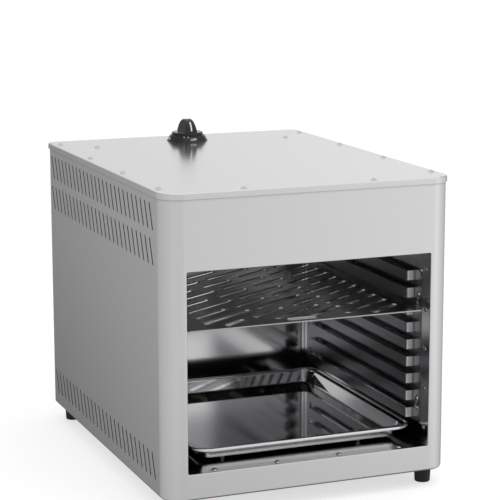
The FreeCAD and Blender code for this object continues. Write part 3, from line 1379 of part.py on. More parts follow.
def thermocouple():
    """Flame probe through the ceiling with its capillary to the valve."""
    top = V(PROBE_X, back(SENSOR_Y), up(CEILING_TOP + PROBE_UP))
    probe = cylinder(PROBE_R, top, Z_AXIS * -1, SENSOR_L)
    collar_foot = V(top.x, top.y, up(CEILING_TOP))
    collar = cylinder(PROBE_R + SENSOR_COLLAR_W, collar_foot, Z_AXIS, SENSOR_COLLAR_H)
    level = up(VALVE_TOP - POCKET_D)
    row = back(VALVE_Y[0] + CAPILLARY_ROW)
    points = [top, V(top.x, top.y, level), V(top.x, row, level), V(VALVE_X[1], row, level)]
    return fused([probe, collar, bent_tube(points, CAPILLARY_R, SENSOR_BEND_R)])


def gas_supply_pipe():
    """Pipe from the inlet at the rear to the valve."""
    end_y = back(BODY_D - INLET_INNER_L)
    points = [
        V(VALVE_X[1], back(PIPE_Y), up(PIPE_Z)),
        V(PIPE_X, back(PIPE_Y), up(PIPE_Z)),
        V(PIPE_X, end_y, up(PIPE_Z)),
    ]
    return bent_tube(points, PIPE_R, PIPE_BEND_R, PIPE_WALL)


def inlet_connector():
    """Threaded stub for the gas hose, through the back panel."""
    start = V(PIPE_X, back(BODY_D - INLET_INNER_L), up(PIPE_Z))
    stub = cylinder(INLET_R, start, Y_AXIS, INLET_INNER_L + INLET_OUT)
    outer_edges = edges_at(stub, lambda p: abs(p.y - back(BODY_D + INLET_OUT)) < TOLERANCE)
    stub = stub.makeChamfer(INLET_CHAMFER, outer_edges)
    collar = hex_nut(V(PIPE_X, back(BODY_D), up(PIPE_Z)), Y_AXIS, INLET_HEX_R, INLET_HEX_T, INLET_BORE_R)
    bore = cylinder(INLET_BORE_R, start - Y_AXIS * PAST, Y_AXIS, INLET_INNER_L + INLET_OUT + 2 * PAST)
    return fused([stub, collar]).cut(bore)


def inlet_nut():
    point = V(PIPE_X, back(WRAP_D), up(PIPE_Z))
    return hex_nut(point, Y_AXIS * -1, INLET_HEX_R, INLET_NUT_T, INLET_R + RUN_GAP)


def knob_bezel():
    """Fixed dial ring round the knob, its mantle drawn in towards the top."""
    base = V(KNOB_X, back(KNOB_Y), up(LID_TOP))
    cone = Part.makeCone(BEZEL_R, BEZEL_TOP_R, BEZEL_H, base, Z_AXIS)
    cone = cone.makeFillet(BEZEL_EDGE_R, edges_at(cone, lambda p: abs(p.z - base.z - BEZEL_H) < TOLERANCE))
    cuts = [cylinder(BEZEL_BORE_R, base - Z_AXIS * PAST, Z_AXIS, BEZEL_H + 2 * PAST)]
    for x, depth in bezel_screw_places():
        start = V(x, back(depth), base.z - PAST)
        cuts.append(cylinder(M3_SHANK_R + RUN_GAP, start, Z_AXIS, BEZEL_SCREW_D + PAST))
    return cone.cut(cuts)


def bezel_screws():
    shapes = []
    for x, depth in bezel_screw_places():
        point = V(x, back(depth), up(BODY_H))
        length = LID_T + BEZEL_SCREW_GRIP
        shapes.append(screw(point, Z_AXIS * -1, M3_HEAD_R, M3_HEAD_H, M3_SHANK_R, length))
    return Part.makeCompound(shapes)


def knob():
    """Turning knob: a round disc, a domed grip that narrows upwards and a hub for the stem."""
    axis = V(KNOB_X, back(KNOB_Y), up(LID_TOP))
    low = KNOB_DISC_Z[0]
    high = KNOB_DISC_Z[1]
    disc = cylinder(KNOB_DISC_R, axis + Z_AXIS * low, Z_AXIS, high - low)
    disc = disc.makeFillet(KNOB_DISC_EDGE_R, edges_at(disc, lambda p: abs(p.z - axis.z - high) < TOLERANCE))
    hub = cylinder(KNOB_HUB_R, axis + Z_AXIS * KNOB_HUB_Z, Z_AXIS, high - KNOB_HUB_Z)
    half_l = KNOB_GRIP_L / 2.0
    rise = KNOB_TOP - high
    round_r = (half_l * half_l + rise * rise) / (2.0 * rise)
    low_x = KNOB_GRIP_W / 2.0
    past_x = low_x - (KNOB_GRIP_W - KNOB_GRIP_TOP_W) / 2.0 * (rise + PAST) / rise
    foot = axis + V(0, -half_l - PAST, high)
    crest = foot + V(0, 0, rise + PAST)
    points = [foot + V(-low_x, 0, 0), foot + V(low_x, 0, 0), crest + V(past_x, 0, 0), crest + V(-past_x, 0, 0)]
    bar = rounded_face(points, [0.0] * 4).extrude(V(0, KNOB_GRIP_L + 2 * PAST, 0))
    bar = bar.common(cylinder(round_r, axis + V(-low_x, 0, KNOB_TOP - round_r), X_AXIS, KNOB_GRIP_W))
    rims = [edge for edge in bar.Edges if edge.BoundBox.ZMax > foot.z + KNOB_GRIP_EDGE_R]
    bar = bar.makeFillet(KNOB_GRIP_EDGE_R, rims)
    bore_top = STEM_TOP + STEM_TOP_GAP
    bore = stem_section(STEM_R + RUN_GAP, axis + Z_AXIS * bore_top, bore_top - KNOB_HUB_Z + PAST)
    return fused([disc, hub, bar]).cut(bore)


def stem_section(radius, top, length):
    """Round bar with one flat, hanging down from a point."""
    bar = cylinder(radius, top, Z_AXIS * -1, length)
    flat = box((top.x - radius - PAST, top.x + radius + PAST),
               (top.y + radius - STEM_FLAT, top.y + radius + PAST),
               (top.z - length - PAST, top.z + PAST))
    return bar.cut(flat)


def valve_stem():
    """Stem from the knob's hub down into the valve, round below its flat."""
    axis = V(KNOB_X, back(KNOB_Y), up(LID_TOP + STEM_TOP))
    flat_l = STEM_TOP - KNOB_HUB_Z
    lower = cylinder(STEM_R, axis - Z_AXIS * flat_l, Z_AXIS * -1, STEM_L - flat_l)
    return fused([stem_section(STEM_R, axis, flat_l), lower])


def spring_collar():
    """Loose ring on the stem between the knob's hub and the spring."""
    point = V(KNOB_X, back(KNOB_Y), up(LID_TOP + KNOB_HUB_Z - COLLAR_T))
    ring = cylinder(COLLAR_R, point, Z_AXIS, COLLAR_T)
    return ring.cut(cylinder(STEM_R + RUN_GAP, point - Z_AXIS * PAST, Z_AXIS, COLLAR_T + 2 * PAST))


def stem_spring():
    """Return spring between the pocket floor and the collar, wound in quarter-turn arcs."""
    low = VALVE_TOP - POCKET_D + SPRING_WIRE_R
    high = LID_TOP + KNOB_HUB_Z - COLLAR_T - SPRING_WIRE_R
    rise = (high - low) / (SPRING_TURNS * 2.0 * math.pi)

    def on_coil(angle):
        x = KNOB_X + SPRING_R * math.cos(angle)
        y = back(KNOB_Y) + SPRING_R * math.sin(angle)
        return V(x, y, up(low) + rise * angle)

    quarter = math.pi / 2.0
    turns = []
    for i in range(SPRING_TURNS * 4):
        start = i * quarter
        end = start + quarter
        turns.append(Part.Arc(on_coil(start), on_coil((start + end) / 2.0), on_coil(end)).toShape())
    section = Part.Wire(Part.makeCircle(SPRING_WIRE_R, on_coil(0.0), V(0, SPRING_R, rise)))
    return Part.Wire(turns).makePipeShell([section], True, False)


def build():
    """Every piece by the name of its node."""
    racks_right = rack_right()
    wall_right = liner_right()
    pieces = {
        "outer_wrap": outer_wrap(),
        "top_cover": top_cover(),
        "back_panel": back_panel(),
        "base_panel": base_panel(),
        "liner_right": wall_right,
        "liner_left": mirrored(wall_right),
        "liner_back": liner_back(),
        "liner_floor": liner_floor(),
        "liner_top": liner_top(),
        "rear_support": rear_support(),
        "rack_right": racks_right,
        "rack_left": mirrored(racks_right),
        "rack_screws": rack_screws(),
        "lid_screws": lid_screws(),
        "flange_rivets": flange_rivets(),
        "floor_screws": frame_screws(OPEN_BOTTOM, Z_AXIS),
        "ceiling_screws": frame_screws(OPEN_TOP, Z_AXIS * -1),
        "liner_screws": liner_screws(),
        "burner_housing": burner_housing(),
        "burner_gasket": burner_gasket(),
        "plaque_retainer": plaque_retainer(),
        "burner_screws": burner_screws(),
        "mixer_tube": mixer_tube(),
        "heat_shield": heat_shield(),
        "shield_screws": shield_screws(),
        "injector": injector(),
        "injector_holder": injector_holder(),
        "valve_body": valve_body(),
        "valve_screws": valve_screws(),
        "control_bracket": control_bracket(),
        "gas_supply_pipe": gas_supply_pipe(),
        "inlet_connector": inlet_connector(),
        "inlet_nut": inlet_nut(),
        "piezo_igniter": piezo_igniter(),
        "ignition_electrode": ignition_electrode(),
        "ignition_lead": ignition_lead(),
        "thermocouple": thermocouple(),
        "foot_screws": foot_screws(),
        "foot_nuts": foot_nuts(),
        "base_screws": base_screws(),
        "back_screws": back_screws(),
        "knob_bezel": knob_bezel(),
        "bezel_screws": bezel_screws(),
        "knob": knob(),
        "valve_stem": valve_stem(),
        "spring_collar": spring_collar(),
        "stem_spring": stem_spring(),
        "grate": grate(),
        "drip_tray": drip_tray(),
    }
    for column in range(PLAQUE_COLUMN_COUNT):
        for row in range(PLAQUE_ROW_COUNT):
            pieces["ceramic_plaque_%d" % (column * PLAQUE_ROW_COUNT + row + 1)] = ceramic_plaque(column, row)
    corner_names = ("front_left", "front_right", "rear_left", "rear_right")
    for name, (x, depth) in zip(corner_names, foot_places()):
        pieces["foot_" + name] = foot(x, depth)
    return pieces


def main():
    os.makedirs("parts", exist_ok=True)
    for name, shape in build().items():
        shape.exportStep("parts/" + name + ".step")


main()
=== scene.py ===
import math

import bpy
from bpy.props import FloatProperty, FloatVectorProperty, IntProperty, PointerProperty
from mathutils import Euler, Matrix, Vector


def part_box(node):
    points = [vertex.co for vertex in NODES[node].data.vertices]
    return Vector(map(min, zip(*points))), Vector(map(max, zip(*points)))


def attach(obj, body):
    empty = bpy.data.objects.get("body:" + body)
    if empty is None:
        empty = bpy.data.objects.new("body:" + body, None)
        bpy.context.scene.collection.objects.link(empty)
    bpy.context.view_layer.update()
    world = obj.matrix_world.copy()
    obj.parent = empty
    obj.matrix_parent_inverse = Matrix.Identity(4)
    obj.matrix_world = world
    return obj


bl_info = {
    "name": "Gas Steak Oven",
    "version": (1, 0, 0),
    "blender": (4, 5, 0),
    "location": "View3D > Sidebar > Steak Oven",
    "description": "Dresses the steel oven, its grate, tray, dial and burner, and lights it in a studio",
    "category": "Object",
}

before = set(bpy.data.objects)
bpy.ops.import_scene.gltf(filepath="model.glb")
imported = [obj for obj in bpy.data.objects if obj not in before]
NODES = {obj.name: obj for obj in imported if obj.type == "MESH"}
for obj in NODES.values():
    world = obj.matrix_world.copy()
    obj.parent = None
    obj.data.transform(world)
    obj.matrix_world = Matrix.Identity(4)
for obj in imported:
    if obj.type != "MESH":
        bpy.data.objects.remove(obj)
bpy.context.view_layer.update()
MM = 0.001

# Steel's patterns
CLOUD_SIZE = 60.0 * MM
CLOUD_SHARE = 0.4
WAVE_SIZE = 90.0 * MM
# Samples for the painted shade that darkens metal near other faces
PAINTED_SHADE_SAMPLES = 8
# Least cosine between a face and the direction that it counts as looking in
FACING = 0.9


# Colours and node trees

def linear(hex_colour):
    """RGBA in linear light from an sRGB hex value."""
    channels = []
    for shift in (16, 8, 0):
        value = ((hex_colour >> shift) & 255) / 255.0
        channels.append(value / 12.92 if value <= 0.04045 else ((value + 0.055) / 1.055) ** 2.4)
    return (*channels, 1.0)


def add_node(tree, kind, settings=None, links=None, values=None):
    """A node of a kind with its properties, its linked inputs and its plain input values."""
    node = tree.nodes.new(kind)
    for name, value in (settings or {}).items():
        setattr(node, name, value)
    for name, value in (values or {}).items():
        node.inputs[name].default_value = value
    for name, output in (links or {}).items():
        tree.links.new(output, node.inputs[name])
    return node


def new_material(name):
    """Empty material with its tree and its output node."""
    material = bpy.data.materials.new(name)
    material.use_nodes = True
    tree = material.node_tree
    tree.nodes.clear()
    output = add_node(tree, "ShaderNodeOutputMaterial")
    return material, tree, output


def object_pattern(tree, scale, turn=(0.0, 0.0, 0.0)):
    """Object coordinates, scaled along each axis."""
    coordinates = add_node(tree, "ShaderNodeTexCoord")
    mapping = add_node(tree, "ShaderNodeMapping", {}, {"Vector": coordinates.outputs["Object"]})
    mapping.inputs["Scale"].default_value = scale
    mapping.inputs["Rotation"].default_value = turn
    return mapping.outputs["Vector"]


def even_pattern(tree, size):
    """Object coordinates for a pattern of one size, in metres, along every axis."""
    return object_pattern(tree, (1.0 / size,) * 3)


def spread(tree, factor, low, high):
    """A factor from 0 to 1 turned to a range of values."""
    remap = add_node(tree, "ShaderNodeMapRange", {}, {"Value": factor})
    remap.inputs["To Min"].default_value = low
    remap.inputs["To Max"].default_value = high
    return remap.outputs["Result"]


def tint(tree, factor, first, second):
    """Blend of two hex colours by a factor."""
    ramp = add_node(tree, "ShaderNodeValToRGB", {}, {"Fac": factor})
    ramp.color_ramp.elements[0].color = linear(first)
    ramp.color_ramp.elements[1].color = linear(second)
    return ramp.outputs["Color"]


def metal(name, light, dark, roughness, grain, grain_depth, waviness=0.0, painted_shade_reach=4.0):
    """Sheet or bar metal, with painted shade: its colour darkened within a given reach, in millimetres, of
    other faces, where contact shadow falls. roughness is a pair, and grain the pattern's size in millimetres
    along X, Y and Z: long along the brushing, short across it."""
    material, tree, output = new_material(name)
    scale = [1.0 / (size * MM) for size in grain]
    streaks = add_node(tree, "ShaderNodeTexNoise", {}, {"Vector": object_pattern(tree, scale)},
                       {"Scale": 1.0, "Detail": 4.0, "Roughness": 0.6})
    clouds = add_node(tree, "ShaderNodeTexNoise", {}, {"Vector": even_pattern(tree, CLOUD_SIZE)},
                      {"Scale": 1.0, "Detail": 2.0})
    mixed = add_node(tree, "ShaderNodeMath", {"operation": "MULTIPLY_ADD"},
                     {0: clouds.outputs["Fac"], 2: streaks.outputs["Fac"]})
    mixed.inputs[1].default_value = CLOUD_SHARE
    colour = tint(tree, streaks.outputs["Fac"], dark, light)
    # Painted shade: the colour darkened near other faces, as contact shadow in corners, creases and under
    # lips
    if painted_shade_reach > 0.0:
        colour = add_node(tree, "ShaderNodeAmbientOcclusion", {"samples": PAINTED_SHADE_SAMPLES}, {"Color": colour},
                          {"Distance": painted_shade_reach * MM}).outputs["Color"]
    surface = add_node(tree, "ShaderNodeBsdfPrincipled", {}, {
        "Base Color": colour,
        "Roughness": spread(tree, mixed.outputs[0], roughness[0], roughness[1]),
    }, {"Metallic": 1.0})
    bump = add_node(tree, "ShaderNodeBump", {}, {"Height": streaks.outputs["Fac"]},
                    {"Strength": 1.0, "Distance": grain_depth * MM})
    if waviness > 0.0:
        waves = add_node(tree, "ShaderNodeTexNoise", {}, {"Vector": even_pattern(tree, WAVE_SIZE)},
                         {"Scale": 1.0, "Detail": 0.0})
        swell = add_node(tree, "ShaderNodeBump", {}, {"Height": waves.outputs["Fac"]},
                         {"Strength": 1.0, "Distance": waviness * MM})
        tree.links.new(swell.outputs["Normal"], bump.inputs["Normal"])
    tree.links.new(bump.outputs["Normal"], surface.inputs["Normal"])
    tree.links.new(surface.outputs["BSDF"], output.inputs["Surface"])
    return material


def moulded(name, light, dark, roughness, grit, depth, ior=1.5, coat=0.0):
    """Plastic, rubber or ceramic with a fine grain. grit is its grain in millimetres."""
    material, tree, output = new_material(name)
    grain = add_node(tree, "ShaderNodeTexNoise", {}, {"Vector": even_pattern(tree, grit * MM)},
                     {"Scale": 1.0, "Detail": 3.0})
    surface = add_node(tree, "ShaderNodeBsdfPrincipled", {}, {
        "Base Color": tint(tree, grain.outputs["Fac"], dark, light),
        "Roughness": spread(tree, grain.outputs["Fac"], roughness[0], roughness[1]),
    }, {"IOR": ior, "Coat Weight": coat})
    bump = add_node(tree, "ShaderNodeBump", {}, {"Height": grain.outputs["Fac"]},
                    {"Strength": 1.0, "Distance": depth * MM})
    tree.links.new(bump.outputs["Normal"], surface.inputs["Normal"])
    tree.links.new(surface.outputs["BSDF"], output.inputs["Surface"])
    return material


# Materials of the sheets

def brushed_stainless(name, grain):
    """Stainless steel, satin brushed: clear grey reflections with a soft edge and a very fine grain."""
    return metal(name, 0xE0E0E1, 0xDBDBDC, (0.13, 0.17), grain, 0.002)


def rolled_stainless():
    """Stainless steel, bright rolled (2B): smoother than the brushed skin, with a slight haze."""
    return metal("rolled_stainless", 0xEAEAEB, 0xE4E4E5, (0.10, 0.15), (90.0, 90.0, 1.2), 0.002, 0.02)


def painted_shade_liner_back():
    """The liner's hidden side seen through the vents, painted dark brown-grey and matt as the shade in the
    gap behind the wrap.
    """
    return metal("painted_shade_liner_back", 0x3E3A37, 0x2B2826, (0.45, 0.60), (8.0, 8.0, 8.0), 0.003)


def satin_stainless():
    """Stainless steel strip, satin ground: an even, softer gloss."""
    return metal("satin_stainless", 0x9C9C9F, 0x8C8C8F, (0.24, 0.32), (1.2, 60.0, 1.2), 0.004)


def front_highlight_stainless():
    """Front-facing ends of the stainless strip, painted near white and rough as a highlight."""
    return metal("front_highlight_stainless", 0xF2F2F3, 0xE8E8EA, (0.50, 0.60), (1.0, 1.0, 1.0), 0.003)


def polished_stainless():
    """Stainless steel, buffed to a mirror after pressing: sharp reflections that swim a little."""
    return metal("polished_stainless", 0xE6E6E7, 0xE3E3E4, (0.035, 0.060), (40.0, 40.0, 40.0), 0.0, 0.12)


def pressed_stainless():
    """Stainless steel plate, punched and pressed: dull gloss with fine rolling lines."""
    return metal("pressed_stainless", 0xB9B9BC, 0xABABAE, (0.16, 0.24), (1.0, 70.0, 1.0), 0.004)


def highlight_painted_lips():
    """Pressed rims of the grate's slots, painted near white as a highlight and left without the painted
    shade.
    """
    return metal("highlight_painted_lips", 0xF0F0F1, 0xE6E6E8, (0.14, 0.20), (1.0, 1.0, 1.0), 0.002, 0.0, 0.0)


def galvanised_sheet():
    """Zinc-coated steel: light grey with the cloudy patches of the zinc."""
    return metal("galvanised_sheet", 0xB8BCBF, 0x9EA3A7, (0.34, 0.48), (9.0, 9.0, 9.0), 0.002)


def turned_stainless():
    """Stainless fasteners, tumbled bright."""
    return metal("turned_stainless", 0xDCDCDD, 0xCFCFD1, (0.16, 0.24), (1.5, 1.5, 1.5), 0.002)


def machined_brass():
    """Brass, turned and left bare: warm yellow with fine tool lines."""
    return metal("machined_brass", 0xC9A65C, 0xB08D45, (0.24, 0.34), (6.0, 0.5, 6.0), 0.004)


def drawn_aluminium():
    """Aluminium tube, drawn: pale, slightly dull, with long draw lines."""
    return metal("drawn_aluminium", 0xD6D8DA, 0xC4C6C9, (0.28, 0.38), (20.0, 20.0, 0.8), 0.003)


def annealed_copper():
    """Copper capillary, annealed: soft pink-brown."""
    return metal("annealed_copper", 0xC4805C, 0xA86A49, (0.30, 0.42), (3.0, 3.0, 3.0), 0.002)


def spring_wire():
    """Stainless spring wire, drawn and coiled."""
    return metal("spring_wire", 0xA9A9AC, 0x949498, (0.25, 0.35), (2.0, 2.0, 2.0), 0.002)


def black_phenolic():
    """Phenolic resin, moulded and polished: deep glossy black."""
    return moulded("black_phenolic", 0x0D0D0E, 0x080809, (0.10, 0.15), 1.5, 0.002)


def black_phenolic_ring():
    """Dial ring in the same black resin, a little less polished."""
    return moulded("black_phenolic_ring", 0x101011, 0x0A0A0B, (0.16, 0.24), 1.2, 0.002)


def foot_rubber():
    """Natural rubber with carbon black, moulded: matt with a faint sheen."""
    return moulded("foot_rubber", 0x131313, 0x0C0C0C, (0.55, 0.68), 0.8, 0.02)


def cordierite_plaque():
    """Cordierite ceramic, pressed and fired: cream, chalky, slightly toasted."""
    return moulded("cordierite_plaque", 0xE8DECC, 0xD8CBB3, (0.85, 0.95), 3.0, 0.05)


def ceramic_fibre():
    """Ceramic fibre paper: white and felted."""
    return moulded("ceramic_fibre", 0xF0EEE8, 0xDEDBD2, (0.9, 1.0), 1.5, 0.15)


def glazed_alumina():
    """White glazed alumina, as on spark plugs."""
    return moulded("glazed_alumina", 0xF2F0EA, 0xECE9E1, (0.10, 0.16), 4.0, 0.002, 1.6)


def silicone_sleeve():
    """Silicone rubber sleeve, brick red and waxy."""
    return moulded("silicone_sleeve", 0x8A3226, 0x74271D, (0.42, 0.52), 1.0, 0.01)


def moulded_nylon():
    """Black glass-filled nylon, with its grainy moulded skin."""
    return moulded("moulded_nylon", 0x202021, 0x161617, (0.45, 0.60), 0.6, 0.02)


def white_print():
    """White ink, pad printed: flat and slightly chalky."""
    return moulded("white_print", 0xF4F4F2, 0xEAEAE7, (0.45, 0.55), 0.5, 0.002)


def pore_shade():
    """Gas hole of the fired plaque, drawn as a near-black brown disc: painted shade of the hole's depth."""
    return moulded("pore_shade", 0x2A241E, 0x17130F, (0.9, 1.0), 0.5, 0.01)


# Mesh helpers

def dress(node_names, material):
    """Give CAD nodes one material."""
    for name in node_names:
        mesh = NODES[name].data
        mesh.materials.clear()
        mesh.materials.append(material)


def dress_side(name, material, direction):
    """Give the faces of a CAD node that look in one direction a second material."""
    mesh = NODES[name].data
    mesh.materials.append(material)
    for polygon in mesh.polygons:
        if polygon.normal.dot(Vector(direction)) > FACING:
            polygon.material_index = 1


def nodes_named(prefix):
    """Names of the CAD nodes that start alike, in order."""
    return sorted(name for name in NODES if name.startswith(prefix))


def link_object(name, data):
    """New object in the scene's own collection."""
    thing = bpy.data.objects.new(name, data)
    bpy.context.scene.collection.objects.link(thing)
    return thing


def placed_mesh(name, vertices, faces, material):
    """Object at the origin with its place in its mesh."""
    mesh = bpy.data.meshes.new(name)
    mesh.from_pydata([tuple(point) for point in vertices], [], faces)
    mesh.update()
    mesh.materials.append(material)
    return link_object(name, mesh)


def new_tree(name, inputs):
    """Geometry Nodes group with its named inputs: name to (socket kind, default)."""
    tree = bpy.data.node_groups.new(name, "GeometryNodeTree")
    tree.interface.new_socket("Geometry", in_out="INPUT", socket_type="NodeSocketGeometry")
    tree.interface.new_socket("Geometry", in_out="OUTPUT", socket_type="NodeSocketGeometry")
    for label, (kind, default) in inputs.items():
        socket = tree.interface.new_socket(label, in_out="INPUT", socket_type=kind)
        if default is not None:
            socket.default_value = default
    return tree, add_node(tree, "NodeGroupInput").outputs


def close_tree(tree, geometry, material):
    """Realize the instances, set the material and end the tree."""
    real = add_node(tree, "GeometryNodeRealizeInstances", {}, {"Geometry": geometry})
    painted = add_node(tree, "GeometryNodeSetMaterial", {}, {"Geometry": real.outputs[0]},
                       {"Material": material})
    add_node(tree, "NodeGroupOutput", {}, {"Geometry": painted.outputs[0]})


def grown(name, source, tree, values):
    """Run a tree on a source mesh and keep the result as a plain mesh at the origin."""
    carrier = link_object(name + "_source", source)
    modifier = carrier.modifiers.new(name, "NODES")
    modifier.node_group = tree
    for item in tree.interface.items_tree:
        if item.item_type == "SOCKET" and item.in_out == "INPUT" and item.name in values:
            modifier[item.identifier] = values[item.name]
    carrier.update_tag()
    evaluated = carrier.evaluated_get(bpy.context.evaluated_depsgraph_get())
    result = bpy.data.meshes.new_from_object(evaluated)
    result.name = name
    carrier.modifiers.remove(modifier)
    bpy.data.objects.remove(carrier)
    return link_object(name, result)


# Settings

class OvenGrateSettings(bpy.types.PropertyGroup):
    lip_width: FloatProperty(name="Lip width", description="Width of the pressed lip round each slot",
                             default=1.6 * MM, unit="LENGTH")
    lip_height: FloatProperty(name="Lip height", description="How far the lip stands out of the plate",
                              default=0.5 * MM, unit="LENGTH")
    rim_margin: FloatProperty(name="Rim margin", description="Plate edge that gets no lip",
                              default=4.0 * MM, unit="LENGTH")


class OvenDialSettings(bpy.types.PropertyGroup):
    letter_height: FloatProperty(name="Letter height", description="Height of OFF and ON on the dial ring",
                                 default=3.6 * MM, unit="LENGTH")
    letter_place: FloatProperty(name="Letter place",
                                description="Middle of the letters, 0 at the ring's foot and 1 at its top",
                                default=0.44)
    print_thickness: FloatProperty(name="Print thickness", description="Raised height of the white marks",
                                   default=0.15 * MM, unit="LENGTH")
    pointer_width: FloatProperty(name="Pointer width", description="Width of the white line on the grip",
                                 default=1.8 * MM, unit="LENGTH")
    ticks: IntProperty(name="Ticks", description="Short marks between OFF and ON", default=2, min=0)
    tick_first: FloatProperty(name="First tick", description="Angle of the first tick from OFF",
                              default=math.radians(16.5), subtype="ANGLE")
    tick_step: FloatProperty(name="Tick step", description="Angle between ticks",
                             default=math.radians(13.5), subtype="ANGLE")


class OvenBurnerSettings(bpy.types.PropertyGroup):
    pore_pitch: FloatProperty(name="Pore pitch", description="Distance between the gas holes shown",
                              default=4.4 * MM, unit="LENGTH")
    pore_radius: FloatProperty(name="Pore radius", description="Radius of a gas hole",
                               default=0.8 * MM, unit="LENGTH")


class OvenStageSettings(bpy.types.PropertyGroup):
    azimuth: FloatProperty(name="Azimuth", description="Camera's turn round the oven",
                           default=math.radians(-21.72), subtype="ANGLE")
    elevation: FloatProperty(name="Elevation", description="Camera's height above the level",
                             default=math.radians(11.0), subtype="ANGLE")
    roll: FloatProperty(name="Roll", description="Camera's tilt about its own axis",
                        default=math.radians(-0.08), subtype="ANGLE")
    distance: FloatProperty(name="Distance", description="From the camera to what it looks at",
                            default=2.0948, unit="LENGTH")
    focal_length: FloatProperty(name="Focal length", description="In millimetres on a 36 mm sensor",
                                default=131.14)
    aim: FloatVectorProperty(name="Aim", description="What the camera looks at, from the front face's foot",
                             default=(-0.0784, 0.0, 0.3147), subtype="XYZ")
    floor_colour: FloatVectorProperty(name="Floor", description="Colour of the floor",
                                      default=linear(0xBFBFBF)[:3], subtype="COLOR")
    world_strength: FloatProperty(name="World strength", description="Soft light from all round",
                                  default=0.80)
    key_power: FloatProperty(name="Key light", description="Power of the large overhead light in watts",
                             default=8.0)


# Operators

class OVEN_OT_body_sheets(bpy.types.Operator):
    """Finish the outer sheets and the cavity liner"""
    bl_idname = "oven.body_sheets"
    bl_label = "Body sheets"

    def execute(self, context):
        upright_grain = (0.5, 0.5, 60.0)
        level_grain = (60.0, 0.5, 0.5)
        dress(["outer_wrap", "back_panel"], brushed_stainless("brushed_stainless_upright", upright_grain))
        dress(["top_cover"], brushed_stainless("brushed_stainless_level", level_grain))
        dress(nodes_named("liner_b") + nodes_named("liner_f") + nodes_named("liner_l")
              + nodes_named("liner_r") + nodes_named("liner_t"), rolled_stainless())
        # Painted shade: the liners' outer faces are made near black where the vents look into the dark gap
        liner_back_shade = painted_shade_liner_back()
        dress_side("liner_left", liner_back_shade, (-1.0, 0.0, 0.0))
        dress_side("liner_right", liner_back_shade, (1.0, 0.0, 0.0))
        dress(["base_panel", "rear_support", "control_bracket", "heat_shield"], galvanised_sheet())
        return {"FINISHED"}


class OVEN_OT_racks(bpy.types.Operator):
    """Finish the two side racks"""
    bl_idname = "oven.racks"
    bl_label = "Side racks"

    def execute(self, context):
        dress(["rack_left", "rack_right"], satin_stainless())
        # Painted highlight: the racks' front-facing faces get a near-white copy of the steel
        lit_front_faces = front_highlight_stainless()
        for name in ("rack_left", "rack_right"):
            dress_side(name, lit_front_faces, (0.0, -1.0, 0.0))
        return {"FINISHED"}


class OVEN_OT_fasteners(bpy.types.Operator):
    """Finish every screw, rivet and nut"""
    bl_idname = "oven.fasteners"
    bl_label = "Fasteners"

    def execute(self, context):
        names = [name for name in NODES if name.endswith(("_screws", "_rivets", "_nuts"))]
        dress(names + ["spring_collar"], turned_stainless())
        dress(["stem_spring"], spring_wire())
        return {"FINISHED"}


# Turn between two faces, in radians, from which their edge is a rim
RIM_ANGLE = 1.0
WELD_DISTANCE = 0.01 * MM
LEVEL_TOLERANCE = 0.1 * MM
LIP_SIDES = 10


